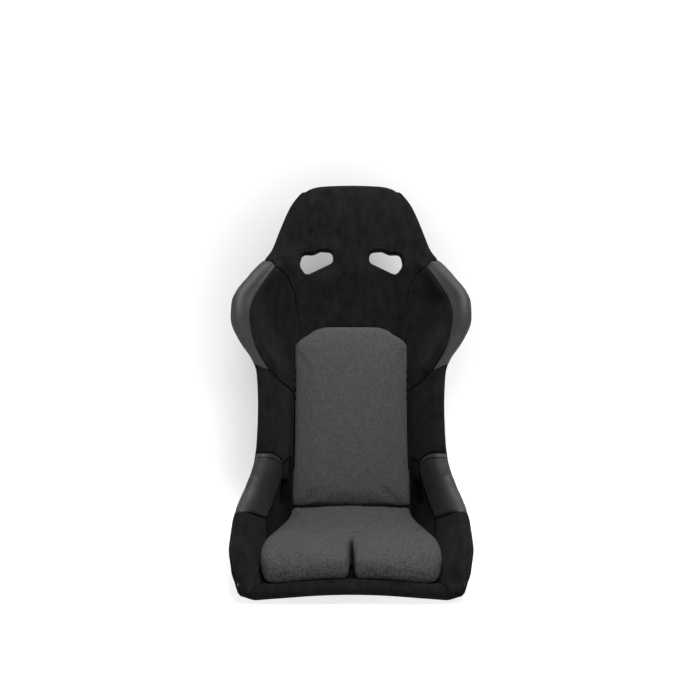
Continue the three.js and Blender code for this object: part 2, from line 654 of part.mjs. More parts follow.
// A bar of a given section swept round the edge: section points are [outwards, up] from the edge.
function edgeBar(outline) {
  const loop = edgeLoop();
  const count = loop.length;
  const size = outline.length;
  const points = loop.flatMap(({ point, normal }, i) => {
    const before = loop[(i + count - 1) % count].point;
    const after = loop[(i + 1) % count].point;
    const tangent = after.clone().sub(before).normalize();
    const outwards = normal.clone().cross(tangent).normalize();
    const up = tangent.clone().cross(outwards).normalize();
    return outline.map(([out, rise]) => point.clone().addScaledVector(outwards, out).addScaledVector(up, rise));
  });
  const faces = [];
  for (let i = 0; i < count; i += 1) {
    for (let k = 0; k < size; k += 1) {
      const a = i * size + k;
      const b = i * size + (k + 1) % size;
      const c = ((i + 1) % count) * size + (k + 1) % size;
      const d = ((i + 1) % count) * size + k;
      if (loop[i].point.x < 0 || loop[(i + 1) % count].point.x < 0) faces.push(a, b, d, b, c, d);
      else faces.push(a, b, c, a, c, d);
    }
  }
  const geometry = new THREE.BufferGeometry();
  geometry.setAttribute('position', new THREE.Float32BufferAttribute(points.flatMap((p) => p.toArray()), 3));
  geometry.setIndex(faces);
  return toManifold(geometry);
}
const trimUnder = -shellWall - trimWall;
const slotRoom = 2 * gap;
const slotUnder = -shellWall - slotRoom;
const trimChannel = edgeBar([
  [-trimGrip, trimUnder], [trimWall, trimUnder], [trimWall, trimWall], [-trimGrip, trimWall],
  [-trimGrip, slotRoom], [slotRoom, slotRoom], [slotRoom, slotUnder], [-trimGrip, slotUnder],
]);
const trimRoom = edgeBar([
  [-trimGrip - gap, trimUnder], [trimWall + gap, trimUnder], [trimWall + gap, trimWall + gap],
  [-trimGrip - gap, trimWall + gap],
]);
addPart('edge_trim', toGeometry(mainBody(trimChannel.subtract(shellRoom))), rubber);

// ---------------------------------------------------------------- pads on the shell
const padSheet = layer(0, onPads(0)).subtract(shellRoom).subtract(trimRoom).subtract(holes);

// Splits a solid by a prism: what lies inside it, and what lies outside with the clearance between.
function split(solid, outline, makePrism) {
  return [solid.intersect(makePrism(outline)), solid.subtract(makePrism(grow(outline, gap)))];
}
const fromFront = (outline) => prism(outline, frontView, -500, 500);
const fromAbove = (outline) => prism(outline, planView, -50, 125);
const fromRight = (outline) => sidePrism(outline, 60, 400);
const bothSides = (points) => [...points, ...mirrorOutline(points)];

const beyondHead = [[300, 692], [300, 950]];
const headOutline = bothSides([...smoothLine(neckSeamPoints, 10), ...beyondHead]);
const [headPanel, belowHead] = split(padSheet, headOutline, fromFront);
addPart('head_panel', toGeometry(mainBody(headPanel)), suede);

const lipOutline = bothSides([[lipSeam.half + 80, lipSeam.y - 80], [lipSeam.half, lipSeam.y]]);
const [lipPad, behindLip] = split(belowHead, lipOutline, fromAbove);
addPart('lip_pad', toGeometry(mainBody(lipPad)), suede);

// The liners meet on a plane square to the middle of the hip bend.
const bend = spine.at(bendAt(0.5));
const bendPoint = (height) => [
  bend.y - height * Math.sin(rad(bend.heading)),
  bend.z + height * Math.cos(rad(bend.heading)),
];
const beforeBend = (low, high) => [low, high, [-600, high[1]], [-600, low[1]]];
const afterBend = (low, high) => [low, [400, low[1]], [400, 900], [high[0], 900], high];
const baseSide = (growth) => sidePrism(grow(beforeBend(bendPoint(-60), bendPoint(120)), growth), -400, 400);
const backSide = (growth) => sidePrism(grow(afterBend(bendPoint(-60), bendPoint(400)), growth), -400, 400);
const basePlan = bothSides(baseLinerOutline);
const backFront = bothSides(backLinerOutline);
const baseRegion = (growth) => fromAbove(grow(basePlan, growth)).intersect(baseSide(growth));
const backRegion = (growth) => fromFront(grow(backFront, growth)).intersect(backSide(growth));
addPart('base_liner', toGeometry(mainBody(behindLip.intersect(baseRegion(0)))), suede);
const behindBase = behindLip.subtract(baseRegion(gap));
addPart('back_liner', toGeometry(mainBody(behindBase.intersect(backRegion(0)))), suede);
const sides = behindBase.subtract(backRegion(gap));
const rightSide = sides.intersect(sidePrism([[-600, -100], [600, -100], [600, 1000], [-600, 1000]], 60, 400));

const upperOutline = [...armpitSeamPoints, [330, 900], [100, 900]];
const [upperSide, lowerSide] = split(rightSide, upperOutline, fromFront);
const bolsterOutline = [...smoothLine(bolsterSeamPoints, 12), [240, 424], [340, 424], [340, 760], [190, 760]];
const [bolster, shoulder] = split(upperSide, bolsterOutline, fromFront);
addPair('shoulder_bolster', toGeometry(mainBody(bolster)), leather);
addPair('shoulder_pad', toGeometry(mainBody(shoulder)), suede);

const thighOutline = [...thighTopSeam, ...thighInnerSeam, [-460, -20], [-460, 282]];
const [thigh, behindThigh] = split(lowerSide, thighOutline, fromRight);
const patchOutline = [...patchSeam, [-330, 400], [100, 400], [100, 40]];
const [patch, thighPad] = split(thigh, patchOutline, fromRight);
addPair('thigh_patch', toGeometry(mainBody(patch)), leather);
addPair('thigh_pad', toGeometry(mainBody(thighPad)), suede);
const hipOutline = [[-460, -60], [200, -60], [200, hipLinerTop], [-460, hipLinerTop]];
const [hipLiner, sidePad] = split(behindThigh, hipOutline, fromRight);
addPair('hip_liner', toGeometry(mainBody(hipLiner)), suede);
addPair('side_pad', toGeometry(mainBody(sidePad)), suede);

// ---------------------------------------------------------------- cushions
// Closed loft through rings of points, capped with a fan at both ends.
function loft(rings) {
  const size = rings[0].length;
  const middle = (ring) => ring.reduce((sum, point) => sum.add(point), new THREE.Vector3()).divideScalar(size);
  const points = [...rings.flat(), middle(rings[0]), middle(rings.at(-1))];
  const first = rings.length * size;
  const lastRing = first - size;
  const faces = [];
  for (let k = 0; k < size; k += 1) {
    const next = (k + 1) % size;
    for (let i = 0; i < rings.length - 1; i += 1) {
      const [a, b] = [i * size + k, i * size + next];
      faces.push(a, b, b + size, a, b + size, a + size);
    }
    faces.push(first, next, k, first + 1, lastRing + k, lastRing + next);
  }
  const geometry = new THREE.BufferGeometry();
  geometry.setAttribute('position', new THREE.Float32BufferAttribute(points.flatMap((p) => p.toArray()), 3));
  geometry.setIndex(faces);
  return toManifold(geometry);
}

// Half a cushion's section, [x, height], from the middle of its crown round the drawn-in side.
function cushionSection(half, height, crown, foot) {
  const right = [
    [0, height], [half * 0.4, height - crown * 0.15], [half * 0.72, height - crown * 0.5],
    [half - 14, height - crown], [half - 4, height - crown - 6], [half, height - crown - 15],
    [half - 3, height - crown - 30], [half - 5, foot],
  ];
  return [...right, ...mirrorOutline(right).slice(0, -1)];
}
const padsRoom = layer(-shellWall - 4, onPads(gap));
const backStart = spine.at(mark.back);
function onBack(x, distance, height) {
  const heading = rad(backStart.heading);
  return new THREE.Vector3(
    x,
    backStart.y + distance * Math.cos(heading) - height * Math.sin(heading),
    backStart.z + distance * Math.sin(heading) + height * Math.cos(heading),
  );
}
const seatBlock = loft(seatCushionRows.map(([y, half, top]) => cushionSection(half, top, seatCrown, 0)
  .map(([x, z]) => new THREE.Vector3(x, y, z))));
const backBlock = loft(backCushionRows.map(([distance, half, face]) => (
  cushionSection(half, face, backCrown, -shellWall).map(([x, height]) => onBack(x, distance, height)))));

// Both cushions meet on a slanting plane through the line where their faces would cross.
const seatTop = seatCushionRows.at(-2)[2];
const backFace = backCushionRows[0][2];
const crossing = onBack(0, (seatTop - onBack(0, 0, backFace).z) / Math.sin(rad(backStart.heading)), backFace);
const mitre = (offset) => {
  const [c, m] = [Math.cos(rad(mitreAngle)), Math.sin(rad(mitreAngle))];
  const at = (run) => [crossing.y + offset * m - run * c, crossing.z + offset * c + run * m];
  return [at(-300), at(300)];
};
const [seatLow, seatHigh] = mitre(-gap / 2);
const seatRoom = sidePrism([seatLow, seatHigh, [-700, seatHigh[1]], [-700, seatLow[1]]], -400, 400);
const [backLow, backHigh] = mitre(gap / 2);
const backRoom = sidePrism([backLow, [600, backLow[1]], [600, 900], [backHigh[0], 900], backHigh], -400, 400);

const floorFrame = { y: 0, z: spine.at(mark.floor).z, heading: 0 };
const stripSets = [
  { name: 'seat', frame: floorFrame, from: strip.baseFrom, to: strip.baseTo, pad: along.floor(floorAt(-200)) },
  { name: 'back', frame: backStart, from: strip.backFrom, to: strip.backTo, pad: along.floor(backAt(300)) },
];
const pockets = {};
for (const { name, frame, from, to, pad } of stripSets) {
  const hookUnder = pad + gap;
  const loopUnder = hookUnder + strip.thickness + gap;
  const bar = (x, growth, low, high) => prism(grow(rectangle(x, strip.width, from, to), growth), frame, low, high);
  addPair(`${name}_hook_strip`, toGeometry(bar(strip.x, 0, hookUnder, hookUnder + strip.thickness)), hookTape);
  addPair(`${name}_loop_strip`, toGeometry(bar(strip.x, 0, loopUnder, loopUnder + strip.thickness)), hookTape);
  const top = loopUnder + strip.thickness + gap;
  const spare = name === 'seat' ? [0, liftRoom] : [liftRoom, 0];
  const pocket = (x) => {
    const outline = rectangle(x, strip.width, from - spare[0], to + spare[1]);
    return prism(grow(outline, gap), frame, 0, top);
  };
  pockets[name] = pocket(strip.x).add(pocket(-strip.x));
}
const splitOutline = [
  [-cushionSplit.rearHalf, cushionSplit.rear], [cushionSplit.rearHalf, cushionSplit.rear],
  [cushionSplit.frontHalf, cushionSplit.front], [-cushionSplit.frontHalf, cushionSplit.front],
];
const seatCushion = seatBlock.intersect(seatRoom).subtract(padsRoom).subtract(pockets.seat)
  .subtract(prism(splitOutline, planView, 0, 200));
addPart('seat_cushion', toGeometry(mainBody(seatCushion)), wovenCloth);
const backCushion = backBlock.intersect(backRoom).subtract(padsRoom).subtract(pockets.back);
addPart('back_cushion', toGeometry(mainBody(backCushion)), wovenCloth);

// The origin is the middle of the underside.
const extent = new THREE.Box3().setFromObject(seat);
seat.position.y = -(extent.min.y + extent.max.y) / 2;
export default seat;
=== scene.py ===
"""Racing bucket seat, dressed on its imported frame: smooth shell, upholstered pads, cushions and a studio.

Shapes are worked out in millimetres in the seat's own axes, the front towards -Y. place() takes them to
metres in the frame's axes. The right half is drawn first and mirrored.
"""

import math

import bpy
import numpy as np
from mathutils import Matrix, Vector, kdtree


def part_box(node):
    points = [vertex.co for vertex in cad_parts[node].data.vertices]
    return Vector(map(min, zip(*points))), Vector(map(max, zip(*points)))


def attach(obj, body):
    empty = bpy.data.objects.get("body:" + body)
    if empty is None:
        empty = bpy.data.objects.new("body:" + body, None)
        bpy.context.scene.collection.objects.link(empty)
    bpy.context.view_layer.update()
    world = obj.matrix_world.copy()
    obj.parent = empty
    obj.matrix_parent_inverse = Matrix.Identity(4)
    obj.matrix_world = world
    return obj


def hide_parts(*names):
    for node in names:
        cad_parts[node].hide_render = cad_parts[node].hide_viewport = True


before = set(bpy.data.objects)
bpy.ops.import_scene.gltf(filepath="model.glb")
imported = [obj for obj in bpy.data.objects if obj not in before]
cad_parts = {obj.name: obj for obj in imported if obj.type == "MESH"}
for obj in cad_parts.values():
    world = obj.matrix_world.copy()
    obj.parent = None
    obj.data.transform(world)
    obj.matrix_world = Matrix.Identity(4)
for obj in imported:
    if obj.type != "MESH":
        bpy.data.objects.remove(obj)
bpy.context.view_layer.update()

# -------- driving sizes
GAP = 0.3  # clearance between pieces
SHELL_WALL = 4.0
INSERT_Y = -305.0  # front bolt hole, in the seat's own axes

TRIM_GRIP = 4.5
TRIM_WALL = 2.0
PAD_MARGIN = -(TRIM_GRIP + GAP)  # the pads end where the trim begins
PAD_EDGE = 3.2  # thickness of the pads beside the trim
PAD_ROLL = 15.0  # width over which they roll down to it
HEAD_ROLL = 34.0  # the same at the top of the head

SEAM_GAP = 0.4  # the pads stop this far from the middle of a seam
SEAM_ROLL = (4.0, 5.4)  # depth and width of the roll of the pads down to a seam
SEAM_LINES = (0.1, 0.28, 0.56, 1.0)  # extra lines of points beside a seam, as shares of the roll
HOLE_ROLL = 5.0  # depth and width of their roll down to a belt opening
HOLE_STITCHES = 8.0  # a line of stitches runs this far from an opening
HOLE_LINES = (0.5, 1.4, 3.0, 5.0, 7.2, 8.0, 8.8)  # and extra lines of points this far
STITCH_GROOVE = (0.9, 0.9)  # depth and width
FOLD_GROOVE = (2.4, 1.2)  # the same for a stitched fold
FOLD_LINES = (-2.4, -1.0, 0.0, 1.0, 2.4)

LIP_CORNER = 56.0
HEAD_CORNER = 68.0
LIP_ARCH = 18.0  # the lip is this much higher in its middle than at its corners
LIP_ARCH_HALF = 220.0
LIP_ARCH_FADE = ((0, 25, 60, 100, 150), (1, 0.7, 0.5, 0.27, 0))  # distances up the ramp, shares left
HEAD_ARCH = 3.0  # the same for the top of the head
HEAD_ARCH_HALF = 80.0
ROLL_END = math.radians(115)
RECLINE = 15.0

shift = 1000 * sum(corner.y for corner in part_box("mount_insert_front_right")) / 2 - INSERT_Y


def place(points):
    """Millimetres in the seat's axes to metres in the frame's."""
    return (np.asarray(points, float) + [0.0, shift, 0.0]) / 1000


# -------- middle line
def arc(radius, turn):
    """Length and turn of an arc."""
    return radius * math.radians(abs(turn)), turn


LIP_START = (-380.0, 7.0)
LIP_HEADING = 100.0
LINE_STEPS = {  # length and turn, from the lower edge of the lip to the back of the head
    "lip": (10.0, 0.0),
    "lip_curl": arc(12, -101.7),
    "ramp": (135.0, 0.0),
    "ramp_foot": arc(150, 1.7),
    "floor": (169.0, 0.0),
    "hip": arc(95, 90 - RECLINE),
    "back": (541.0, 0.0),
    "neck": arc(400, -4.5),
    "head": (196.0, 0.0),
    "head_curl": arc(14, -98),
    "head_flange": (9.0, 0.0),
}
lengths, turns = np.array(list(LINE_STEPS.values())).T
knots = np.concatenate([[0], np.cumsum(lengths)])
mark = dict(zip(LINE_STEPS, knots))
END = knots[-1]

STEP = 0.1
line_s = np.arange(0, END, STEP)
line_heading = np.interp(line_s, knots, LIP_HEADING + np.concatenate([[0], np.cumsum(turns)]))


def running_sum(start, rates):
    return start + np.concatenate([[0], np.cumsum(rates[:-1] + rates[1:]) * STEP / 2])


line_y = running_sum(LIP_START[0], np.cos(np.radians(line_heading)))
line_z = running_sum(LIP_START[1], np.sin(np.radians(line_heading)))


def floor_at(y):
    part = (line_s > mark["ramp"]) & (line_s < mark["hip"])
    return np.interp(y, line_y[part], line_s[part])


def back_at(z):
    part = (line_s > mark["back"]) & (line_s < mark["head_curl"])
    return np.interp(z, line_z[part], line_s[part])


def bend_at(share):
    return mark["hip"] + share * (mark["back"] - mark["hip"])


def heading_at(s):
    return math.radians(np.interp(s, line_s, line_heading))


def middle_at(s):
    return np.interp(s, line_s, line_y), np.interp(s, line_s, line_z)


def ahead_of(s, spots):
    """Distance of places ahead of the plane across the middle line at s."""
    y, z = middle_at(s)
    return (spots[:, 1] - y) * math.cos(heading_at(s)) + (spots[:, 2] - z) * math.sin(heading_at(s))


def smoothstep(value, low, high):
    share = np.clip((value - low) / (high - low), 0, 1)
    return share * share * (3 - 2 * share)


def bell(distance, height, width):
    return height * np.exp(-((distance / width) ** 2))


def curve_through(places, values):
    """Values along the middle line, on a smooth curve through the given ones that never overshoots."""
    places, values = np.array(places, float), np.array(values, float)
    spans = np.diff(places)
    slopes = np.diff(values) / spans
    product = np.maximum(slopes[:-1] * slopes[1:], 0)
    total = slopes[:-1] + slopes[1:]
    inner = np.divide(2 * product, total, out=np.zeros_like(product), where=product > 0)
    tangents = np.concatenate([[slopes[0]], inner, [slopes[-1]]])
    i = np.clip(np.searchsorted(places, line_s, side="right") - 1, 0, len(spans) - 1)
    t = np.clip((line_s - places[i]) / spans[i], 0, 1)
    return (
        (1 + 2 * t) * (1 - t) ** 2 * values[i]
        + t * (1 - t) ** 2 * spans[i] * tangents[i]
        + t * t * (3 - 2 * t) * values[i + 1]
        + t * t * (t - 1) * spans[i] * tangents[i + 1]
    )


# Sections: place, half width of the flat, half width and height where the rim starts to roll, lean of the
# wall there, radius of the rim, width of the flange, and pad thickness on the flat, the wall and the rim.
SECTION_KEYS = ("flat", "half", "rise", "flare", "roll", "edge", "floor", "side", "rim")
SECTIONS = [
    (0, 118, 256, 0, 60, 4, 5, 10, 9, 5),
    (mark["lip_curl"], 122, 256, 0, 60, 4, 6, 12, 10, 7),
    (mark["ramp"], 150, 254, 18, 48, 7, 8, 10, 11, 11),
    (floor_at(-345), 155, 255, 41, 41, 8, 10, 4, 15, 16),
    (floor_at(-320), 160, 260, 57, 36, 8, 10, 4, 16, 18),
    (floor_at(-280), 160, 264, 69, 30, 8, 10, 4, 16, 18),
    (floor_at(-180), 158, 263, 92, 24, 8, 10, 4, 17, 18),
    (floor_at(-80), 154, 248, 124, 20, 8, 10, 4, 18, 18),
    (bend_at(0.35), 152, 232, 158, 18, 8, 10, 6, 18, 18),
    (bend_at(0.7), 150, 224, 162, 20, 8, 10, 8, 18, 18),
    (back_at(120), 148, 217, 144, 24, 8, 10, 10, 18, 18),
    (back_at(200), 145, 212, 124, 30, 8, 10, 10, 18, 18),
    (back_at(300), 140, 210, 105, 34, 8, 10, 10, 18, 18),
    (back_at(400), 134, 214, 98, 36, 8, 10, 10, 18, 18),
    (back_at(440), 132, 229, 108, 36, 8, 10, 10, 19, 18),
    (back_at(485), 130, 257, 124, 36, 8, 10, 11, 20, 18),
    (back_at(530), 126, 275, 130, 36, 8, 10, 13, 22, 18),
    (back_at(575), 118, 274, 121, 38, 8, 10, 18, 24, 18),
    (back_at(625), 104, 241, 88, 42, 8, 10, 26, 26, 18),
    (back_at(665), 92, 200, 50, 48, 8, 10, 30, 28, 18),
    (back_at(700), 84, 182, 26, 56, 8, 9, 32, 29, 16),
    (back_at(740), 76, 168, 17, 62, 8, 8, 33, 30, 14),
    (back_at(790), 68, 149, 12, 66, 7, 7, 34, 30, 15),
    (mark["head_curl"], 60, 130, 6, 66, 6, 6, 24, 22, 15),
    (mark["head_flange"], 56, 125, 0, 62, 4, 5, 8, 8, 6),
    (END, 56, 125, 0, 60, 4, 5, 6, 6, 4),
]
SOFTENING = 9.0  # the profiles are blurred along the line by this much, away from its two ends


def softened(values):
    reach = int(4 * SOFTENING / STEP)
    weights = np.exp(-((np.arange(-reach, reach + 1) * STEP / SOFTENING) ** 2) / 2)
    blurred = np.convolve(np.pad(values, reach, mode="edge"), weights / weights.sum(), mode="valid")
    inner = smoothstep(line_s, mark["ramp"], mark["ramp"] + 30)
    inner *= 1 - smoothstep(line_s, mark["head_curl"] - 30, mark["head_curl"])
    return values + (blurred - values) * inner


places = [row[0] for row in SECTIONS]
profile = {
    key: softened(curve_through(places, [row[k + 1] for row in SECTIONS]))
    for k, key in enumerate(SECTION_KEYS)
}

# Places, and the lean of the section planes from vertical towards the front: they fan out round the hip.
FAN = [
    (mark["ramp"], -8), (floor_at(-330), -2), (floor_at(-280), 2), (floor_at(-180), 8), (floor_at(-80), 15),
    (bend_at(0.35), 23), (bend_at(0.7), 32), (back_at(120), 42), (back_at(200), 54), (back_at(300), 64),
    (back_at(400), 71), (back_at(480), 90 - RECLINE),
]
fanned = (line_s > mark["ramp"]) & (line_s < back_at(480))
line_lean = np.where(fanned, curve_through(*zip(*FAN)), line_heading)


def along(key, s):
    return np.interp(s, line_s, profile[key])


# -------- surface of the shell
# v runs across half a section: flat up to 1, wall up to 5, rolled rim up to 8, flange up to 9.
FLAT_END, WALL_END, RIM_END, EDGE = 1.0, 5.0, 8.0, 9.0


def section(s, v, margin):
    """[across, up] of places on the sections. The margin widens the flange."""
    flat, half, rise = along("flat", s), along("half", s), along("rise", s)
    flare, roll = np.radians(along("flare", s)), along("roll", s)
    t = np.clip((v - FLAT_END) / (WALL_END - FLAT_END), 0, 1)
    reach = np.hypot(0.4 * (half - flat), rise) / 2
    early, late = 3 * (1 - t) ** 2 * t, 3 * (1 - t) * t * t
    wall_x = (1 - t) ** 3 * flat + early * (flat + 0.6 * (half - flat))
    wall_x += late * (half - np.sin(flare) * reach) + t**3 * half
    wall_up = late * (rise - np.cos(flare) * reach) + t**3 * rise

    turn = flare + (ROLL_END - flare) * np.clip((v - WALL_END) / (RIM_END - WALL_END), 0, 1)
    flange = np.clip(v - RIM_END, 0, 1) * (along("edge", s) + margin)
    rim_x = half + roll * (np.cos(flare) - np.cos(turn)) + flange * math.sin(ROLL_END)
    rim_up = rise + roll * (np.sin(turn) - np.sin(flare)) + flange * math.cos(ROLL_END)
    across = np.where(v < FLAT_END, flat * v, np.where(v < WALL_END, wall_x, rim_x))
    return across, np.where(v < FLAT_END, 0, np.where(v < WALL_END, wall_up, rim_up))


def surface(s, v, margin):
    across, up = section(s, v, margin)
    lean = np.radians(np.interp(s, line_s, line_lean))
    y, z = middle_at(s)
    y, z = y - up * np.sin(lean), z + up * np.cos(lean)
    arch = np.interp(s - mark["ramp"], *LIP_ARCH_FADE)
    z = z + arch * LIP_ARCH * np.maximum(0, 1 - (across / LIP_ARCH_HALF) ** 2)
    crown = smoothstep(s, back_at(770), mark["head_curl"])
    z = z + crown * HEAD_ARCH * np.maximum(-1, 1 - (across / HEAD_ARCH_HALF) ** 2)
    return np.stack([across, y, z], axis=-1)


def unit(vectors):
    return vectors / np.linalg.norm(vectors, axis=-1, keepdims=True)


def surface_normals(s, v, margin):
    """Normals on the side of the driver."""
    across = surface(s, np.minimum(v + 0.02, EDGE), margin) - surface(s, np.maximum(v - 0.02, 0), margin)
    ahead = surface(s + 0.5, v, margin) - surface(s - 0.5, v, margin)
    return unit(np.cross(across, ahead))


def from_edge(across, up):
    """Distance of each place of a section from its last one, along the section."""
    steps = np.hypot(np.diff(across, axis=-1), np.diff(up, axis=-1))
    sums = np.cumsum(steps[..., ::-1], axis=-1)[..., ::-1]
    return np.concatenate([sums, np.zeros_like(sums[..., :1])], axis=-1)


ROWS = np.unique(np.concatenate([
    np.linspace(0, mark["lip_curl"], 5),
    np.linspace(mark["lip_curl"], mark["ramp"], 9),
    np.arange(mark["ramp"], floor_at(-300), 3.5),
    np.arange(floor_at(-300), back_at(760), 4.5),
    np.linspace(back_at(760), mark["head_curl"], 14),
    np.linspace(mark["head_curl"], mark["head_flange"], 9),
    np.linspace(mark["head_flange"], END, 4),
]))
COLUMNS = np.concatenate([
    np.linspace(0, FLAT_END, 17)[:-1],
    np.linspace(FLAT_END, WALL_END, 33)[:-1],
    np.linspace(WALL_END, RIM_END, 11)[:-1],
    EDGE - np.linspace(1, 0, 7) ** 1.6,
])
FINE_COLUMNS = np.linspace(0, EDGE, 181)


def half_sheet(margin):
    """Places s, v on the right half with rounded corners, and each one's distance from the border."""
    stretch = (END + 2 * margin) / END
    s, v = np.meshgrid(ROWS * stretch - margin, COLUMNS, indexing="ij")
    from_side = from_edge(*section(s, v, margin))
    near_lip = s < END / 2
    from_end = np.where(near_lip, s + margin, END + margin - s)
    radius = margin + np.where(near_lip, LIP_CORNER, HEAD_CORNER)
    a, b = 1 - from_end / radius, 1 - from_side / radius
    border = np.minimum(from_end, from_side)
    for at in zip(*np.nonzero((a > 0) & (b > 0))):
        r, p, q = radius[at], a[at], b[at]
        new_end = r * (1 - p * math.sqrt(1 - q * q / 2))
        new_side = r * (1 - q * math.sqrt(1 - p * p / 2))
        new_s = new_end - margin if near_lip[at] else END + margin - new_end
        distances = from_edge(*section(np.full_like(FINE_COLUMNS, new_s), FINE_COLUMNS, margin))
        s[at] = new_s
        v[at] = np.interp(new_side, distances[::-1], FINE_COLUMNS[::-1])
        border[at] = r * (1 - math.sqrt(p * p + q * q - p * p * q * q))
    return s, v, border


def pad_thickness(s, v, border):
    wall_share = smoothstep(v, FLAT_END, FLAT_END + 2.5)
    rim_share = smoothstep(v, WALL_END - 3, WALL_END)
    thick = along("floor", s) + (along("side", s) - along("floor", s)) * wall_share
    thick += (along("rim", s) - thick) * rim_share
    roll = PAD_ROLL + (HEAD_ROLL - PAD_ROLL) * smoothstep(s, back_at(790), mark["head_curl"])
    left = 1 - np.clip(border / roll, 0, 1)
    return PAD_EDGE + np.maximum(thick - PAD_EDGE, 0.3) * np.sqrt(1 - left * left)


# Columns of a point of a sheet: place on the shell, normal, thickness above it, distance from the border
# of the pads, and distance from the nearest belt opening.
BASE, NORMAL, THICK, BORDER, HOLE = slice(0, 3), slice(3, 6), 6, 7, 8


def grid_faces(rows, columns):
    corner = np.arange(rows * columns).reshape(rows, columns)
    a, b, c, d = corner[:-1, :-1], corner[:-1, 1:], corner[1:, 1:], corner[1:, :-1]
    pairs = np.stack([np.stack([a, b, c], -1), np.stack([a, c, d], -1)], axis=2)
    return pairs.reshape(-1, 3)


def make_sheet(margin, padded):
    s, v, border = half_sheet(margin)
    normals = surface_normals(s, v, margin)
    normals[:, 0, 0] = 0
    thick = pad_thickness(s, v, border) if padded else np.zeros_like(s)
    parts = [surface(s, v, margin), unit(normals), thick[..., None], border[..., None], border[..., None]]
    points = np.concatenate(parts, axis=-1).reshape(s.size, -1)
    return points, grid_faces(*s.shape)


def face_of(points):
    """Places on the face of the pads."""
    return points[:, BASE] + points[:, NORMAL] * points[:, THICK, None]


# -------- outlines and cuts
def smooth_line(points):
    """Catmull-Rom line through the points."""
    line = np.array([points[0], *points, points[-1]], float)
    t = np.linspace(0, 1, 8, endpoint=False)[:, None]
    pieces = []
    for p0, p1, p2, p3 in zip(line, line[1:], line[2:], line[3:]):
        bend = (2 * p0 - 5 * p1 + 4 * p2 - p3) * t**2 + (3 * p1 - p0 - 3 * p2 + p3) * t**3
        pieces.append(p1 + ((p2 - p0) * t + bend) / 2)
    return [*np.concatenate(pieces).tolist(), list(points[-1])]


def rounded(corners, steps=8):
    """Outline with every corner rounded. Corners are [x, y, radius]."""
    corners = np.array(corners, float)
    points = []
    for before, corner, after in zip(np.roll(corners, 1, 0), corners, np.roll(corners, -1, 0)):
        here = corner[:2]
        sides = [before[:2] - here, after[:2] - here]
        spans = [np.linalg.norm(side) for side in sides]
        first, last = [side / span for side, span in zip(sides, spans)]
        cut_back = corner[2] / math.tan(math.acos(np.dot(first, last)) / 2)
        cut_back = min(cut_back, 0.48 * spans[0], 0.48 * spans[1])
        for t in np.linspace(0, 1, steps + 1):
            points.append(here + first * cut_back * (1 - t) ** 2 + last * cut_back * t**2)
    return np.array(points)


def distance_to_line(line, x, y):
    best = np.full(x.shape, np.inf)
    for (x0, y0), (x1, y1) in zip(line, line[1:]):
        dx, dy = x1 - x0, y1 - y0
        t = np.clip(((x - x0) * dx + (y - y0) * dy) / (dx * dx + dy * dy), 0, 1)
        best = np.minimum(best, np.hypot(x - x0 - t * dx, y - y0 - t * dy))
    return best


def inside(outline, x, y):
    """Distance from a closed outline, positive inside it."""
    loop = [*outline, outline[0]]
    odd = np.zeros(x.shape, bool)
    for (x0, y0), (x1, y1) in zip(loop, loop[1:]):
        if y0 != y1:
            odd ^= ((y0 > y) != (y1 > y)) & (x < x0 + (y - y0) * (x1 - x0) / (y1 - y0))
    distance = distance_to_line(loop, x, y)
    return np.where(odd, distance, -distance)


def both_sides(points):
    return [*points, *[(-x, y) for x, y in reversed(points)]]


def cut(points, faces, field):
    """Splits the faces along field = 0: all points, the faces above and the faces below."""
    field = np.where(np.abs(field) < 0.02, 0.0, field)
    side = np.sign(field)[faces].astype(int)
    low, high = side.min(axis=1), side.max(axis=1)
    crossed = (low < 0) & (high > 0)
    above, below = [faces[~crossed & (high > 0)]], [faces[~crossed & (high <= 0)]]

    # Each crossed face is turned so that its odd corner comes first: alone on its side, or on the line.
    total = side[crossed].sum(axis=1)
    first = np.argmax(side[crossed] == -np.sign(total)[:, None], axis=1)
    turned = np.take_along_axis(faces[crossed], (first[:, None] + np.arange(3)) % 3, axis=1)
    alone, touching = turned[total != 0], turned[total == 0]
    pairs = np.sort(np.concatenate([alone[:, [0, 1]], alone[:, [0, 2]], touching[:, [1, 2]]]), axis=1)
    pairs, index = np.unique(pairs, axis=0, return_inverse=True)
    starts, ends = points[pairs[:, 0]], points[pairs[:, 1]]
    share = field[pairs[:, 0]] / (field[pairs[:, 0]] - field[pairs[:, 1]])
    met = index.ravel() + len(points)
    points = np.concatenate([points, starts + (ends - starts) * share[:, None]])

    a, b, c = alone.T
    ab, ac = met[: len(alone)], met[len(alone): 2 * len(alone)]
    tip = np.stack([a, ab, ac], 1)
    base = np.concatenate([np.stack([ab, b, c], 1), np.stack([ab, c, ac], 1)])
    up = field[a] > 0
    above += [tip[up], base[np.tile(~up, 2)]]
    below += [tip[~up], base[np.tile(up, 2)]]

    a, b, c = touching.T
    bc = met[2 * len(alone):]
    up = field[b] > 0
    halves = [np.stack([a, b, bc], 1), np.stack([a, bc, c], 1)]
    above += [halves[0][up], halves[1][~up]]
    below += [halves[0][~up], halves[1][up]]
    return points, np.concatenate(above), np.concatenate(below)


def only_used(points, faces):
    used, index = np.unique(faces, return_inverse=True)
    return points[used], index.reshape(faces.shape)


def mirrored(points, faces):
    """The left half: the same sheet with x turned over."""
    other = points.copy()
    other[:, [0, 3]] *= -1
    return other, faces[:, ::-1]


def both_halves(points, faces):
    """The sheet joined to its mirror image along the middle."""
    count = len(points)
    on_middle = np.abs(points[:, 0]) < 1e-6
    index = np.where(on_middle, np.arange(count), np.arange(count) + count)
    other, turned = mirrored(points, faces)
    return only_used(np.concatenate([points, other]), np.concatenate([faces, index[turned]]))


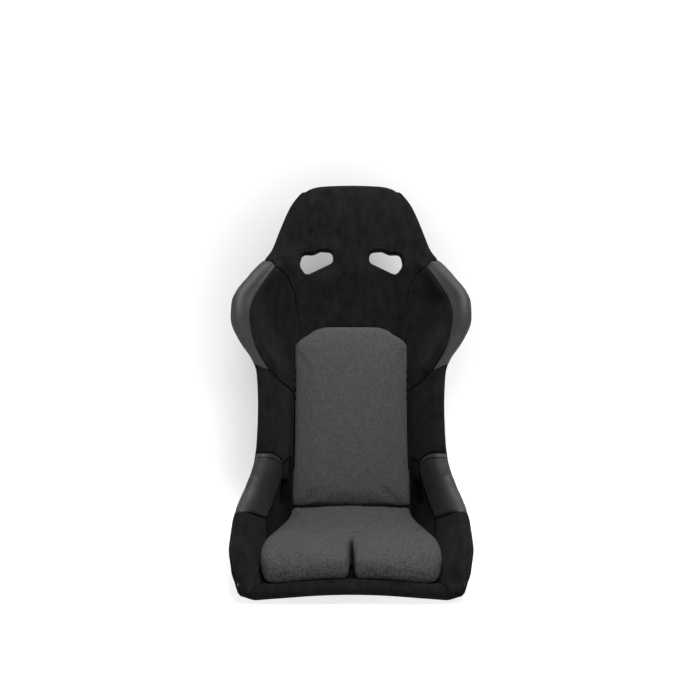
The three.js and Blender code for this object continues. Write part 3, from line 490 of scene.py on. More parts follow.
def border_edges(faces):
    """Edges that only one face has, in that face's direction."""
    edges = np.concatenate([faces[:, [0, 1]], faces[:, [1, 2]], faces[:, [2, 0]]])
    _, index, counts = np.unique(np.sort(edges, axis=1), axis=0, return_inverse=True, return_counts=True)
    return edges[counts[index.ravel()] == 1]


# -------- belt openings
HARNESS_HEIGHT = 667.0
HARNESS_CORNERS = [
    (115, -34, 16), (43, 0, 17), (45, 32, 18), (79, 34, 20), (98, 25, 22), (126, 26, 20), (135, -6, 30),
]
LAP_CORNERS = [(-30, 92, 11), (8, 84, 11), (24, 142, 11), (-8, 156, 11)]
STRAP_CORNERS = [(-40, -298, 11), (40, -298, 11), (40, -272, 11), (-40, -272, 11)]


def harness_field(points):
    return -inside(rounded(HARNESS_CORNERS), points[:, 0], ahead_of(back_at(HARNESS_HEIGHT), points))


def lap_field(points):
    return np.where(points[:, 0] > 120, -inside(rounded(LAP_CORNERS), points[:, 1], points[:, 2]), 99)


def strap_field(points):
    return np.where(points[:, 2] < 60, -inside(rounded(STRAP_CORNERS), points[:, 0], points[:, 1]), 99)


OPENINGS = (harness_field, lap_field, strap_field)


def open_holes(points, faces):
    for field in OPENINGS:
        points[:, HOLE] = field(face_of(points))
        points, faces, _ = cut(points, faces, points[:, HOLE])
    points, faces = only_used(points, faces)
    top = face_of(points)
    points[:, HOLE] = np.min([field(top) for field in OPENINGS], axis=0)
    return points, faces


# -------- meshes
SHARP_ANGLE = math.radians(55)


def linked(name, data):
    """A new object in the scene."""
    made = bpy.data.objects.new(name, data)
    bpy.context.scene.collection.objects.link(made)
    return made


def finished(piece, body, node):
    """Hangs a piece on its body in place of its CAD node."""
    piece.name = f"{node}_cover"
    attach(piece, body)
    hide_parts(node)


def on_bucket(node, points, faces, material, fill=None):
    """A piece of the bucket, from points in the seat's axes."""
    mesh = bpy.data.meshes.new(node)
    mesh.from_pydata(place(points).tolist(), [], [list(map(int, face)) for face in faces])
    mesh.validate()
    mesh.shade_smooth()
    mesh.set_sharp_from_angle(angle=SHARP_ANGLE)
    mesh.materials.append(material)
    finished(linked(node, mesh), "bucket", node)


def closed_tube(rings):
    """Points and faces of a tube that closes on itself: [ring, place on the ring, xyz]."""
    index = np.arange(rings[..., 0].size).reshape(rings.shape[:2])
    around, ahead = np.roll(index, -1, 1), np.roll(index, -1, 0)
    quads = np.stack([index, around, np.roll(ahead, -1, 1), ahead], -1)
    return rings.reshape(-1, 3), quads.reshape(-1, 4)


def closed_sheet(top, bottom, faces):
    """Points and faces of the body between two layers of a sheet."""
    count = len(top)
    a, b = border_edges(faces).T
    walls = np.stack([b, a, a + count, b + count], 1)
    return np.concatenate([top, bottom]), [*faces, *(faces[:, ::-1] + count), *walls]


def distances_from(edges, spots, reach):
    """Distance of each place from the nearest of the edges, up to a reach."""
    starts, ends = spots[edges[:, 0]], spots[edges[:, 1]]
    longest = np.linalg.norm(ends - starts, axis=1).max(initial=1)
    shares = np.linspace(0, 1, int(longest / 0.8) + 1, endpoint=False)
    samples = np.concatenate([starts + (ends - starts) * share for share in shares])
    tree = kdtree.KDTree(len(samples))
    for i, sample in enumerate(samples):
        tree.insert(sample, i)
    tree.balance()
    return np.array([min(tree.find(point)[2], reach) for point in spots])


def rolled(distance, width):
    """Share of a quarter-round's drop: 1 on its edge and 0 past its width."""
    left = 1 - np.clip(distance / width, 0, 1)
    return 1 - np.sqrt(1 - left * left)


def with_lines(points, faces, measure, levels):
    """The sheet with its faces split where a measure of its points has one of the levels."""
    for level in levels:
        points, above, below = cut(points, faces, measure(points) - level)
        faces = np.concatenate([above, below])
    return points, faces


SEAM = 9  # one more column for the distance from the piece's own seams


def upholstered(points, faces, seam_roll, fold):
    """Rolls a pad down at its seams and openings. Returns its points, its faces and its new face.

    A fold is a field that is 0 along a stitched groove.
    """
    depth, width = seam_roll
    points, faces = only_used(points, faces)
    top = face_of(points)
    edges = border_edges(faces)
    outer = (points[:, BORDER] < 0.01) | (np.abs(points[:, 0]) < 0.01)
    hole = points[:, HOLE] < 0.05
    is_seam = ~(outer[edges].all(axis=1) | hole[edges].all(axis=1))
    seam = distances_from(edges[is_seam], top, 2 * width)
    points = np.concatenate([points, seam[:, None]], axis=1)
    points, faces, _ = cut(points, faces, points[:, SEAM] - SEAM_GAP)
    seam_levels = SEAM_GAP + (width - SEAM_GAP) * np.array(SEAM_LINES)
    points, faces = with_lines(points, faces, lambda spots: spots[:, SEAM], seam_levels)
    points, faces = with_lines(points, faces, lambda spots: spots[:, HOLE], HOLE_LINES)
    if fold:
        points, faces = with_lines(points, faces, lambda spots: fold(face_of(spots)), FOLD_LINES)
    points, faces = only_used(points, faces)
    thick = points[:, THICK]
    lowered = thick - depth * rolled(points[:, SEAM] - SEAM_GAP, width - SEAM_GAP)
    lowered -= np.minimum(HOLE_ROLL, thick - 2) * rolled(points[:, HOLE], HOLE_ROLL)
    lowered -= bell(points[:, HOLE] - HOLE_STITCHES, *STITCH_GROOVE)
    if fold:
        lowered -= bell(fold(face_of(points)), *FOLD_GROOVE)
    normals = unit(points[:, NORMAL])
    return points, faces, points[:, BASE] + normals * np.maximum(lowered, 1.2)[:, None]


def pad_body(points, faces, seam_roll=SEAM_ROLL, fold=None):
    """Closed pad: its rolled face, its walls and its back on the shell."""
    points, faces, top = upholstered(points, faces, seam_roll, fold)
    return closed_sheet(top, points[:, BASE] + unit(points[:, NORMAL]) * GAP, faces)


def central_pad(name, points, faces, material):
    on_bucket(name, *pad_body(*both_halves(points, faces)), material, fill=0.9)


def paired_pad(name, points, faces, material, **sewing):
    for side, half in (("right", (points, faces)), ("left", mirrored(points, faces))):
        on_bucket(f"{name}_{side}", *pad_body(*half, **sewing), material, fill=0.9)


# -------- materials
def linear(colour):
    channels = [int(colour[i: i + 2], 16) / 255 for i in (1, 3, 5)]
    return [c / 12.92 if c <= 0.04045 else ((c + 0.055) / 1.055) ** 2.4 for c in channels] + [1]


class Finish:
    """A material with one Principled shader, and short calls to add nodes to it."""

    def __init__(self, name, **values):
        self.material = bpy.data.materials.new(name)
        self.material.use_nodes = True
        self.tree = self.material.node_tree
        self.shader = self.tree.nodes["Principled BSDF"]
        self.set(**values)
        coordinates = self.tree.nodes.new("ShaderNodeTexCoord")
        self.here = coordinates.outputs["Object"]

    def set(self, **values):
        for name, value in values.items():
            self.put(self.shader.inputs[name.replace("_", " ")], value)

    def put(self, socket, value):
        if isinstance(value, bpy.types.NodeSocket):
            self.tree.links.new(value, socket)
        elif isinstance(value, str):
            socket.default_value = linear(value)
        else:
            socket.default_value = value

    def add(self, kind, output=0, inputs=(), **settings):
        made = self.tree.nodes.new(f"ShaderNode{kind}")
        for name, value in settings.items():
            setattr(made, name, value)
        for name, value in dict(inputs).items():
            self.put(made.inputs[name], value)
        return made.outputs[output]

    def noise(self, scale, detail=2.0, roughness=0.5, where=None):
        inputs = {"Vector": where or self.here, "Scale": scale, "Detail": detail, "Roughness": roughness}
        return self.add("TexNoise", "Fac", inputs)

    def cells(self, scale, randomness=1.0):
        inputs = {"Vector": self.here, "Scale": scale, "Randomness": randomness}
        return self.add("TexVoronoi", "Distance", inputs, feature="F1")

    def stretched(self, x, y, z):
        return self.add("Mapping", 0, {"Vector": self.here, "Scale": (x, y, z)})

    def math(self, operation, first, second=0.0):
        return self.add("Math", 0, {0: first, 1: second}, operation=operation)

    def spread(self, value, low, high, to_low=0.0, to_high=1.0):
        inputs = {"Value": value, "From Min": low, "From Max": high, "To Min": to_low, "To Max": to_high}
        return self.add("MapRange", 0, inputs)

    def mix(self, share, first, second):
        return self.add("Mix", 2, {0: share, 6: first, 7: second}, data_type="RGBA")

    def bump(self, height, distance, under=None):
        inputs = {"Height": height, "Distance": distance, "Strength": 1.0}
        if under:
            inputs["Normal"] = under
        return self.add("Bump", 0, inputs)


def suede(name, dark, light):
    """Brushed microfibre: soft patches where the nap lies another way, over a fine felt."""
    made = Finish(name, Roughness=0.95, Sheen_Weight=0.03, Sheen_Roughness=0.5, Specular_IOR_Level=0.05)
    patches = made.noise(20, 4, 0.65)
    strokes = made.noise(60, 4, 0.7, made.stretched(1.0, 0.6, 0.35))
    felt = made.noise(900, 3, 0.7)
    lay = made.math("ADD", made.math("MULTIPLY", patches, 0.6), made.math("MULTIPLY", strokes, 0.6))
    lay = made.math("ADD", lay, made.math("MULTIPLY", felt, 0.35))
    made.set(Base_Color=made.mix(made.spread(lay, 0.55, 1.0), dark, light))
    coarse = made.bump(made.noise(420, 2), 0.0004)
    made.set(Normal=made.bump(felt, 0.0003, coarse))
    return made.material


def leather():
    """Soft black leather: pebble grain, faint creases and paler places where it is rubbed."""
    made = Finish("leather", Specular_IOR_Level=0.6)
    pebbles = made.cells(750)
    creases = made.noise(120, 4, 0.65)
    rubbed = made.noise(22, 2)
    made.set(
        Base_Color=made.mix(made.spread(rubbed, 0.35, 0.7), "#202021", "#2c2c2d"),
        Roughness=made.spread(creases, 0.3, 0.7, 0.52, 0.66),
    )
    folds = made.bump(creases, 0.0006)
    made.set(Normal=made.bump(pebbles, 0.00022, folds))
    return made.material


def woven_cloth():
    """Charcoal cloth in two greys: fine threads, and stitches that are plainest low on the front."""
    made = Finish("woven_cloth", Roughness=0.97, Specular_IOR_Level=0.1)
    made.set(Sheen_Weight=0.05, Sheen_Roughness=0.4)
    stitches = made.cells(190, randomness=0.7)
    height_above = made.tree.nodes.new("ShaderNodeSeparateXYZ")
    made.put(height_above.inputs[0], made.here)
    weave = made.math("MULTIPLY", stitches, made.spread(height_above.outputs[2], 0.07, 0.14, -0.5, -0.15))
    fibres = made.noise(700, 3, 0.7)
    upright = made.noise(520, 2, 0.6, made.stretched(1.0, 0.12, 0.12))
    level = made.noise(520, 2, 0.6, made.stretched(0.12, 1.0, 1.0))
    threads = made.math("ADD", upright, level)
    tone = made.math("ADD", weave, made.math("MULTIPLY", fibres, 0.5))
    tone = made.math("ADD", tone, made.math("MULTIPLY", threads, 0.45))
    made.set(Base_Color=made.mix(made.spread(tone, 0.2, 0.85), "#2c2c2c", "#606060"))
    height = made.math("ADD", weave, fibres)
    made.set(Normal=made.bump(height, 0.0006))
    return made.material


def gelcoat():
    """Black moulding: satin gloss, a little cloudy, over a faint print of the fibres."""
    made = Finish("gelcoat", Coat_Weight=0.3, Coat_Roughness=0.2)
    cloudy = made.noise(12, 3)
    made.set(Base_Color=made.mix(made.spread(cloudy, 0.3, 0.7), "#121214", "#1b1b1d"))
    made.set(Roughness=made.spread(made.noise(60, 4, 0.7), 0.3, 0.7, 0.28, 0.42))
    made.set(Normal=made.bump(made.cells(160), 0.0002))
    return made.material


def matt_moulding(name, dark, light, roughness):
    """Rubber, plastic or tape: a fine spark texture and a little dust."""
    made = Finish(name, Roughness=roughness, Specular_IOR_Level=0.15)
    grain = made.noise(1400, 2)
    dust = made.noise(50, 3)
    made.set(Base_Color=made.mix(made.spread(dust, 0.3, 0.7), dark, light))
    made.set(Normal=made.bump(grain, 0.0002))
    return made.material


def zinc_steel():
    made = Finish("zinc_steel", Metallic=1.0)
    spangle = made.noise(180, 3, 0.7)
    made.set(Base_Color=made.mix(spangle, "#a9abac", "#c4c6c6"))
    made.set(Roughness=made.spread(spangle, 0.3, 0.7, 0.26, 0.44))
    made.set(Normal=made.bump(made.noise(700, 2), 0.00005))
    return made.material


black_suede = suede("black_suede", "#0f0f0e", "#252523")
# The same suede painted darker: painted shade for the liners deep in the bucket and for the lap-belt
# openings.
painted_shade_suede = suede("painted_shade_suede", "#080808", "#0f0f0f")
black_leather = leather()
cloth = woven_cloth()
black_gelcoat = gelcoat()
rubber = matt_moulding("trim_rubber", "#0b0b0b", "#131313", 0.85)
plastic = matt_moulding("bezel_plastic", "#0c0c0c", "#121212", 0.75)
tape = matt_moulding("strip_tape", "#141416", "#232326", 0.95)
steel = zinc_steel()

# -------- shell
shell_points, shell_faces = open_holes(*make_sheet(0.0, padded=False))
shell_points, shell_faces = both_halves(shell_points, shell_faces)
shell_back = shell_points[:, BASE] - unit(shell_points[:, NORMAL]) * SHELL_WALL
on_bucket("shell", *closed_sheet(shell_points[:, BASE], shell_back, shell_faces), black_gelcoat)


# -------- edge trim
def trim_outline():
    """Section of the trim, [outwards, up] from the edge of the shell: a rounded channel."""
    under, top = -SHELL_WALL - TRIM_WALL, TRIM_WALL
    slot = 2 * GAP
    low = -SHELL_WALL - slot
    grip, wall = -TRIM_GRIP, TRIM_WALL
    outer = rounded([(grip, under, 0.8), (wall, under, 2.6), (wall, top, 2.6), (grip, top, 0.8)], 4)
    return np.array([*outer, (grip, slot), (slot, slot), (slot, low), (grip, low)])


def round_border(values):
    """Values on the border: from the middle of the head down the right side, and up the left side."""
    right = np.concatenate([values[-1, :], values[-2::-1, -1], values[0, -2::-1]])
    return np.concatenate([right, (right * [-1, 1, 1])[-2:0:-1]])


def edge_trim():
    s, v, _ = half_sheet(0.0)
    loop = round_border(surface(s, v, 0.0))
    normals = round_border(surface_normals(s, v, 0.0))
    tangents = unit(np.roll(loop, -1, 0) - np.roll(loop, 1, 0))
    outwards = unit(np.cross(normals, tangents))
    up = unit(np.cross(tangents, outwards))
    outline = trim_outline()
    rings = loop[:, None] + outwards[:, None] * outline[:, :1] + up[:, None] * outline[:, 1:]
    on_bucket("edge_trim", *closed_tube(rings), rubber)


edge_trim()

# -------- pads on the shell
BOLSTER_RIDGE = (9.0, 20.0)  # height and width
PATCH_RISE = 4.0  # the patches are fuller than the pads beside them
PATCH_FOLD = 13.0  # from their top seam to the stitched fold

# Seams between the pads, in front view [x, z], plan [x, y] or side view [y, z].
NECK_SEAM = [(134, 440), (134, 505), (138, 560), (148, 615), (168, 656), (200, 692)]
BOLSTER_SEAM = [(186, 678), (218, 640), (240, 605), (246, 575), (241, 536), (227, 489), (198, 438)]
ARMPIT_SEAM = [(100, 296), (144, 349), (175, 398), (198, 438), (240, 455), (330, 470)]
BACK_LINER = [(150, 0), (150, 150), (144, 349), (134, 440)]
THIGH_TOP_SEAM = [(-160, 282), (-60, 246), (-8, 206)]
THIGH_INNER_SEAM = [(-14, 172), (-29, 149), (-60, 112), (-110, 82), (-165, 50), (-190, 0)]
PATCH_SEAM = [(-60, 40), (-95, 85), (-215, 165), (-330, 242)]
HIP_LINER_TOP = 196.0
LIP_SEAM = (200, -362)
BASE_LINER = [(205, -362), (213, -310), (205, -230), (190, -160), (172, -95), (160, -20), (158, 60)]
LOW_TOP = 125.0  # the lip pad and the base liner lie below this
FRONT, PLAN, SIDE = [0, 2], [0, 1], [1, 2]  # the two axes that each view shows


def within(view, outline):
    """Field of places on the pads: how far they lie inside an outline in a view."""
    return lambda top: inside(outline, *top[:, view].T)


def down_low(field):
    """The same field, but nothing above LOW_TOP lies inside."""
    return lambda top: np.where(top[:, 2] < LOW_TOP, field(top), -50)


def divide(points, faces, field):
    """The two parts of a sheet on either side of a seam."""
    points, inner, outer = cut(points, faces, field(face_of(points)))
    return only_used(points, inner), only_used(points, outer)


def before_bend(top):
    """Distance in front of the middle of the hip bend, where the two liners meet."""
    return -ahead_of(bend_at(0.5), top)


def raise_bolsters(points):
    """Makes the pads fuller along the seam of the bolsters."""
    top = face_of(points)
    fade = smoothstep(points[:, BORDER], 6, 30)
    on_bolster = distance_to_line(smooth_line(BOLSTER_SEAM), top[:, 0], top[:, 2])
    ridge = bell(on_bolster, *BOLSTER_RIDGE) * smoothstep(top[:, 2], 400, 450)
    points[:, THICK] += fade * ridge


def patch_fold(top):
    """Distance past the stitched fold under the top seam of the thigh patches."""
    return distance_to_line(smooth_line(THIGH_TOP_SEAM), top[:, 1], top[:, 2]) - PATCH_FOLD


pads = open_holes(*make_sheet(PAD_MARGIN, padded=True))
pad_points = pads[0]
raise_bolsters(pad_points)
head_outline = both_sides([*smooth_line(NECK_SEAM), (300, 692), (300, 950)])
head, rest = divide(*pads, within(FRONT, head_outline))
central_pad("head_panel", *head, black_suede)

lip_outline = both_sides([(LIP_SEAM[0] + 80, LIP_SEAM[1] - 80), LIP_SEAM])
lip, rest = divide(*rest, down_low(within(PLAN, lip_outline)))
central_pad("lip_pad", *lip, black_suede)

# The liners on the floor and the back are drawn in the darker suede: painted shade deep in the bucket.
on_floor = down_low(within(PLAN, both_sides(BASE_LINER)))
base, rest = divide(*rest, lambda top: np.minimum(on_floor(top), before_bend(top)))
central_pad("base_liner", *base, painted_shade_suede)

on_back = within(FRONT, both_sides(BACK_LINER))
back, rest = divide(*rest, lambda top: np.minimum(on_back(top), -before_bend(top)))
central_pad("back_liner", *back, painted_shade_suede)

upper, lower = divide(*rest, within(FRONT, [*ARMPIT_SEAM, (330, 900), (100, 900)]))
bolster_outline = [*smooth_line(BOLSTER_SEAM), (240, 424), (340, 424), (340, 760), (190, 760)]
bolster, shoulder = divide(*upper, within(FRONT, bolster_outline))
paired_pad("shoulder_bolster", *bolster, black_leather)
paired_pad("shoulder_pad", *shoulder, black_suede)

thigh_outline = [*smooth_line(THIGH_TOP_SEAM), *THIGH_INNER_SEAM, (-460, -20), (-460, 282)]
thigh, behind = divide(*lower, within(SIDE, thigh_outline))
patch, thigh_pad = divide(*thigh, within(SIDE, [*PATCH_SEAM, (-330, 400), (100, 400), (100, 40)]))
patch[0][:, THICK] += PATCH_RISE * smoothstep(patch[0][:, BORDER], 0, 30)
paired_pad("thigh_patch", *patch, black_leather, seam_roll=(7.0, 11.0), fold=patch_fold)
paired_pad("thigh_pad", *thigh_pad, black_suede)

# The hip liners are drawn in the darker suede too: painted shade.
hip_outline = [(-460, -60), (200, -60), (200, HIP_LINER_TOP), (-460, HIP_LINER_TOP)]
hip, side = divide(*behind, within(SIDE, hip_outline))
paired_pad("hip_liner", *hip, painted_shade_suede)
paired_pad("side_pad", *side, black_suede)


# -------- linings of the belt openings
LINING = 2.4
LINING_LIP = 6.0


def lining(corners, origin, axes, near, behind=2.5, sunk=0.0):
    """Points and faces of a ring that lines an opening, from the pads to a lip behind the shell.

    The axes are the outline's two and the outward one. Near are the pads' points on the opening.
    """
    outline = rounded(corners)
    along_u, along_v, outwards = map(np.array, axes)
    top = face_of(near) - origin
    flat = np.stack([top @ along_u, top @ along_v], 1)
    facing = np.abs(near[:, NORMAL] @ outwards)
    drop = np.minimum(HOLE_ROLL, near[:, THICK] - 2)
    gaps = np.linalg.norm(outline[:, None] - flat[None], axis=2) + 0.5
    weights = 1 / gaps**4
    weights /= weights.sum(axis=1, keepdims=True)
    high = weights @ (top @ outwards - drop) - sunk
    deep = weights @ ((near[:, THICK] - drop + SHELL_WALL) / facing) - sunk

    ahead = unit(np.roll(outline, -1, 0) - np.roll(outline, 1, 0))
    inward = np.stack([-ahead[:, 1], ahead[:, 0]], 1)
    if (inward * (outline.mean(0) - outline)).sum() < 0:
        inward = -inward
    upper = [(-1.5, -2.5), (-0.6, -0.6), (0.6, -0.1), (1.7, -0.5), (LINING, -1.8)]
    lower = [(LINING, 1 - behind), (LINING - 0.8, -behind), (0.6, -behind), (0.3, -2.4)]
    lower += [(-LINING_LIP, -2.4), (-LINING_LIP, -0.5), (0.3, -0.4)]
    rings = [(inset, high + level) for inset, level in upper]
    rings += [(inset, high - deep + level) for inset, level in lower]
    layers = []
    for inset, level in rings:
        flat = outline + inward * inset
        layers.append(origin + flat[:, :1] * along_u + flat[:, 1:] * along_v + level[:, None] * outwards)
    return closed_tube(np.array(layers))


def outward_facing(points, faces):
    """The faces, turned over if their normals point into the body."""
    a, b, c, d = (points[faces[:, k]] for k in range(4))
    volume = (np.cross(b - a, c - a) * a).sum() + (np.cross(c - a, d - a) * a).sum()
    return faces if volume > 0 else faces[:, ::-1]


def place_lining(node, ring, flip, material):
    points, faces = ring[0] * [flip, 1, 1], ring[1]
    on_bucket(node, points, outward_facing(points, faces), material)


on_edge = pad_points[pad_points[:, HOLE] < 0.05]
head_edge = on_edge[on_edge[:, 2] > 500]
lap_edge = on_edge[(on_edge[:, 0] > 120) & (on_edge[:, 2] < 300)]
strap_edge = on_edge[(on_edge[:, 0] < 100) & (on_edge[:, 2] < 60)]
head_s = back_at(HARNESS_HEIGHT)
run, rise = math.cos(heading_at(head_s)), math.sin(heading_at(head_s))
head_axes = ([1, 0, 0], [0, run, rise], [0, -rise, run])
harness_ring = lining(HARNESS_CORNERS, [0, *middle_at(head_s)], head_axes, head_edge)
lap_axes = ([0, 1, 0], [0, 0, 1], [-1, 0, 0])
# The lap linings reach 14 mm behind the shell in the darker suede: a dark sleeve that stands in for the
# shade inside these openings.
lap_ring = lining(LAP_CORNERS, [0, 0, 0], lap_axes, lap_edge, behind=14.0, sunk=2.0)
strap_ring = lining(STRAP_CORNERS, [0, 0, 0], np.eye(3), strap_edge)
for side, flip in (("right", 1), ("left", -1)):
    place_lining(f"harness_bezel_{side}", harness_ring, flip, black_suede)
for side, flip in (("right", 1), ("left", -1)):
    place_lining(f"lap_belt_bezel_{side}", lap_ring, flip, painted_shade_suede)
place_lining("crotch_strap_bezel", strap_ring, 1, plastic)


# -------- cushions
COVER_VOXEL = 0.0055
FINE_VOXEL = 0.0032


def apply(piece, kind, **settings):
    """Adds a modifier and applies it to the mesh."""
    modifier = piece.modifiers.new(kind, kind)
    for name, value in settings.items():
        setattr(modifier, name, value)
    evaluated = piece.evaluated_get(bpy.context.evaluated_depsgraph_get())
    mesh = bpy.data.meshes.new_from_object(evaluated)
    piece.modifiers.clear()
    piece.data = mesh


def remesh(piece, voxel):
    apply(piece, "REMESH", mode="VOXEL", voxel_size=voxel, use_smooth_shade=True)


def soften(piece, times):
    apply(piece, "SMOOTH", factor=0.5, iterations=times)


def remeshed(node, smoothing):
    """A smoothed copy of a CAD node with even faces."""
    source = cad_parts[node]
    piece = linked(node, source.data.copy())
    piece.matrix_world = source.matrix_world.copy()
    remesh(piece, COVER_VOXEL)
    soften(piece, smoothing)
    return piece


def of_vertices(mesh, kind):
    values = np.empty(3 * len(mesh.vertices))
    mesh.vertices.foreach_get(kind, values)
    return values.reshape(-1, 3)


def set_coordinates(piece, values):
    piece.data.vertices.foreach_set("co", values.ravel())
    piece.data.update()


COVER = {  # cloth settings
    "quality": 4,
    "mass": 0.25,
    "tension_stiffness": 25,
    "compression_stiffness": 25,
    "shear_stiffness": 10,
    "bending_stiffness": 4,
    "use_pressure": True,
}


def stuffed(piece, held, pressure, reach):
    """Blows a cover up as foam does. Held points stay, and the rest moves no further than reach."""
    scene = bpy.context.scene
    start = of_vertices(piece.data, "co")
    group = piece.vertex_groups.new(name="held")
    group.add(np.nonzero(held)[0].tolist(), 1.0, "REPLACE")
    cover = piece.modifiers.new("cover", "CLOTH")
    for name, value in COVER.items():
        setattr(cover.settings, name, value)
    cover.settings.uniform_pressure_force = pressure
    cover.settings.effector_weights.gravity = 0
    cover.settings.vertex_group_mass = "held"
    cover.collision_settings.use_collision = False
    for frame_number in range(1, 21):
        scene.frame_set(frame_number)
    result = piece.evaluated_get(bpy.context.evaluated_depsgraph_get())
    step = of_vertices(result.data, "co") - start
    piece.modifiers.clear()
    piece.vertex_groups.clear()
    scene.frame_set(1)
    length = np.linalg.norm(step, axis=1, keepdims=True)
    limited = reach * np.tanh(length / reach)
    set_coordinates(piece, start + step * limited / np.maximum(length, 1e-9))


def carved(piece, corners, bottom, top):
    """Cuts an upright prism out of a piece. Its corners are [x, y]."""
    count = len(corners)
    points = [(x, y, z) for z in (bottom, top) for x, y in corners]
    sides = [(i, (i + 1) % count, (i + 1) % count + count, i + count) for i in range(count)]
    ends = [range(count - 1, -1, -1), range(count, 2 * count)]
    mesh = bpy.data.meshes.new("cutter")
    mesh.from_pydata(place(points).tolist(), [], [*ends, *sides])
    cutter = linked("cutter", mesh)
    apply(piece, "BOOLEAN", operation="DIFFERENCE", object=cutter, solver="EXACT")
    bpy.data.objects.remove(cutter)


def covered(piece, node, body):
    piece.data.materials.clear()
    piece.data.materials.append(cloth)
    piece.data.shade_smooth()
    finished(piece, body, node)


CREASE_Y = -212.0  # the top of the seat cushion folds here, before it rolls over the front
CREASE_BOW = (14.0, 70.0)  # how far the crease bows forwards, and over what width
CREASE = (3.0, 6.0)  # depth and width
FRONT_RISE = 5.0  # the cushion is fuller in front of its crease
SPLIT = [(0, -222), (-5, -300), (-9, -400), (9, -400), (5, -300)]  # open wedge for the crotch strap
SPLIT_DIP = (6.0, 12.0)  # the top is drawn down beside the wedge: depth and width
SPLIT_CORNER = (5.0, 9.0)  # its lower corners are rounded off: width and fade
HANG = 10.0  # the front corners hang lower than the middle by this much


def shape_seat(piece):
    """Creases and fills the top, lets the front corners hang and rounds the corners of the split."""
    spots = of_vertices(piece.data, "co")
    x, y = 1000 * spots[:, 0], 1000 * spots[:, 1] - shift
    on_top = smoothstep(of_vertices(piece.data, "normal")[:, 2], 0.2, 0.7)
    behind_crease = y - CREASE_Y + CREASE_BOW[0] * np.cos(x / CREASE_BOW[1]) - 8
    sag = bell(behind_crease, *CREASE) - FRONT_RISE * smoothstep(-behind_crease, -2, 34)
    sag += SPLIT_DIP[0] * np.exp(-np.abs(x) / SPLIT_DIP[1]) * smoothstep(-y, 205, 245)
    spots[:, 2] -= on_top * sag / 1000
    below = smoothstep(-1000 * spots[:, 2], -85, -55)
    at_front = smoothstep(-y, 335, 375)
    spots[:, 2] -= HANG * at_front * smoothstep(np.abs(x), 40, 180) / 1000
    width, fade = SPLIT_CORNER
    spots[:, 0] += width / 1000 * np.sign(x) * np.exp(-np.abs(x) / fade) * at_front * below
    set_coordinates(piece, spots)


seat = remeshed("seat_cushion", smoothing=6)
stuffed(seat, of_vertices(seat.data, "normal")[:, 2] < -0.2, pressure=3.0, reach=0.007)
carved(seat, SPLIT, 20, 200)
remesh(seat, FINE_VOXEL)
soften(seat, 8)
shape_seat(seat)
covered(seat, "seat_cushion", "lower_cushion")

back_rest = remeshed("back_cushion", smoothing=5)
stuffed(back_rest, of_vertices(back_rest.data, "normal")[:, 1] > 0.2, pressure=1.5, reach=0.004)
soften(back_rest, 6)
apply(back_rest, "SUBSURF", levels=1, render_levels=1)
covered(back_rest, "back_cushion", "upper_cushion")

# -------- CAD nodes that stay
NODE_FINISHES = {"mount_insert": steel, "mount_runner": black_gelcoat, "strip": tape}
for node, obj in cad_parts.items():
    for word, finish in NODE_FINISHES.items():
        if word in node:
            obj.data.materials.clear()
            obj.data.materials.append(finish)


# -------- studio
STAGE_REACH = 60.0
HORIZON = 14.0  # height of the paper round the far edge of the floor
WALL_Y = 0.43  # the backdrop stands close behind the seat
BEND = 0.30  # radius of the sweep from the floor to the backdrop
WALL_FOOT = 0.0005  # the sweep starts this high over the floor
TURNS = 25  # points of the sweep and of the horizon
# GLOW_BEHIND and the SHADE values make a painted shadow: the paper's glow is dimmed in an oval round the
# seat.
GLOW = 0.82
GLOW_BEHIND = 0.2  # glow in the middle of the shade
SHADE_SCALE = (2.6, 1.0, 2.0)  # the shade is an oval, a little to the left of the seat's middle
SHADE_SHIFT = (0.12, -0.43, -0.94)
SHADE_EDGE = (0.2, 1.25)  # the glow grows between these distances from its middle
LAMP_AIM = Vector((0.0, 0.0, 0.45))
SKY_STRENGTH = 0.08


def backdrop_paper(name, one_sided=False):
    """Grey paper that throws little light back. To the camera it glows white, less so in an oval round the
    seat: a painted shadow.

    One-sided paper can't be seen from behind, and lamps shine through it.
    """
    made = Finish(name, Base_Color="#b8b8b8", Roughness=1.0, Specular_IOR_Level=0.0)
    rays = made.tree.nodes.new("ShaderNodeLightPath")
    seen = rays.outputs["Is Camera Ray"]
    for output in ("Is Glossy Ray", "Is Transmission Ray"):
        seen = made.math("ADD", seen, rays.outputs[output])
    placed = made.add("Mapping", 0, {"Vector": made.here, "Location": SHADE_SHIFT, "Scale": SHADE_SCALE})
    away = made.add("VectorMath", 1, {0: placed}, operation="LENGTH")
    # painted shadow: less glow near the seat, more further out
    glow = made.spread(away, *SHADE_EDGE, GLOW_BEHIND, GLOW)
    made.set(Emission_Color=(1, 1, 1, 1), Emission_Strength=made.math("MULTIPLY", seen, glow))
    if one_sided:
        behind = made.add("NewGeometry", "Backfacing")
        passing = made.math("MAXIMUM", behind, rays.outputs["Is Shadow Ray"])
        made.set(Alpha=made.math("SUBTRACT", 1.0, passing))
    return made.material


def lamp(name, spot, size, power):
    data = bpy.data.lights.new(name, "AREA")
    data.shape = "DISK"
    data.size = size
    data.energy = power
    made = linked(name, data)
    made.location = spot
    made.rotation_euler = (LAMP_AIM - made.location).to_track_quat("-Z", "Y").to_euler()


def across(line):
    """Pairs of corners as far apart as the stage is wide, along a line of [y, z]."""
    return [(x, y, z) for y, z in line for x in (-STAGE_REACH, STAGE_REACH)]


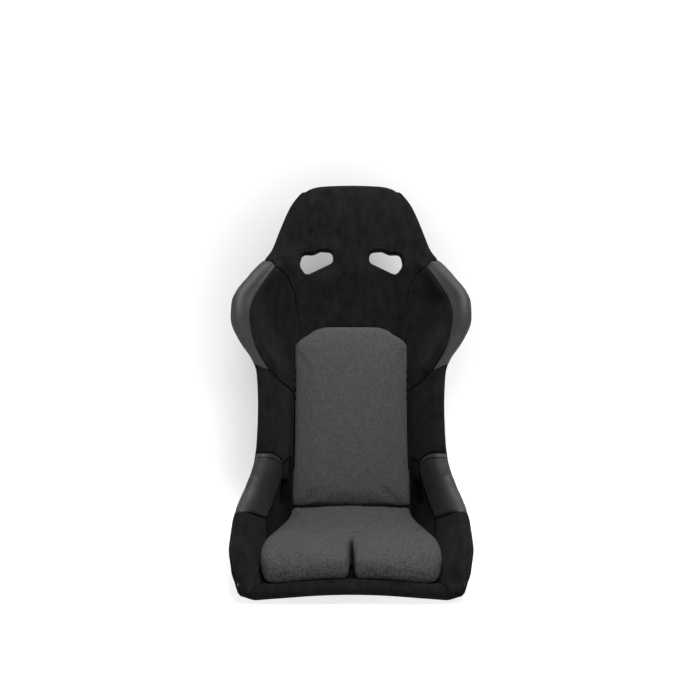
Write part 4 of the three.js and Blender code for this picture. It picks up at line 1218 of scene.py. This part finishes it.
def backdrop(name, corners, material):
    """A sheet through pairs of corners."""
    faces = [(i, i + 1, i + 3, i + 2) for i in range(0, len(corners) - 2, 2)]
    mesh = bpy.data.meshes.new(name)
    mesh.from_pydata(corners, [], faces)
    mesh.shade_smooth()
    mesh.materials.append(material)
    linked(name, mesh)


bend = [
    (WALL_Y - BEND + BEND * math.sin(turn), WALL_FOOT + BEND - BEND * math.cos(turn))
    for turn in np.linspace(0, math.pi / 2, TURNS)
]
horizon = [
    (STAGE_REACH * math.sin(turn), STAGE_REACH * math.cos(turn), height)
    for turn in np.linspace(0, 2 * math.pi, TURNS)
    for height in (0.0, HORIZON)
]
paper = backdrop_paper("floor_paper")
backdrop("floor", across([(-STAGE_REACH, 0.0), (STAGE_REACH, 0.0)]), paper)
backdrop("horizon", horizon, paper)
backdrop("wall", across([*bend, (WALL_Y, STAGE_REACH)]), backdrop_paper("wall_paper", one_sided=True))
lamp("key", (0.45, -1.25, 3.65), 1.5, 132)
lamp("front", (-0.5, -3.3, 1.6), 1.8, 9)
lamp("left_strip", (-2.2, -0.9, 1.6), 0.8, 1.5)
lamp("right_strip", (2.2, -0.9, 1.6), 0.8, 2.5)
lamp("back", (0.9, 3.2, 2.4), 1.8, 20)

world = bpy.data.worlds.new("studio")
bpy.context.scene.world = world
world.use_nodes = True
sky = world.node_tree.nodes["Background"].inputs
sky["Color"].default_value = (1, 1, 1, 1)
sky["Strength"].default_value = SKY_STRENGTH

# -------- camera
CAMERA_HEIGHT_ANGLE = math.radians(16)
CAMERA_DISTANCE = 3.2
LENS = 67.1
AIM_HEIGHT = 0.493
AIM_ACROSS = -0.0028
target = Vector((AIM_ACROSS, shift / 1000, AIM_HEIGHT))
away = Vector((0.0, -math.cos(CAMERA_HEIGHT_ANGLE), math.sin(CAMERA_HEIGHT_ANGLE)))
camera_data = bpy.data.cameras.new("camera")
camera_data.sensor_width = 36.0
camera_data.lens = LENS
camera = linked("camera", camera_data)
camera.location = target + away * CAMERA_DISTANCE
camera.rotation_euler = (-away).to_track_quat("-Z", "Y").to_euler()
bpy.context.scene.camera = camera
bpy.context.scene.view_settings.view_transform = "Standard"
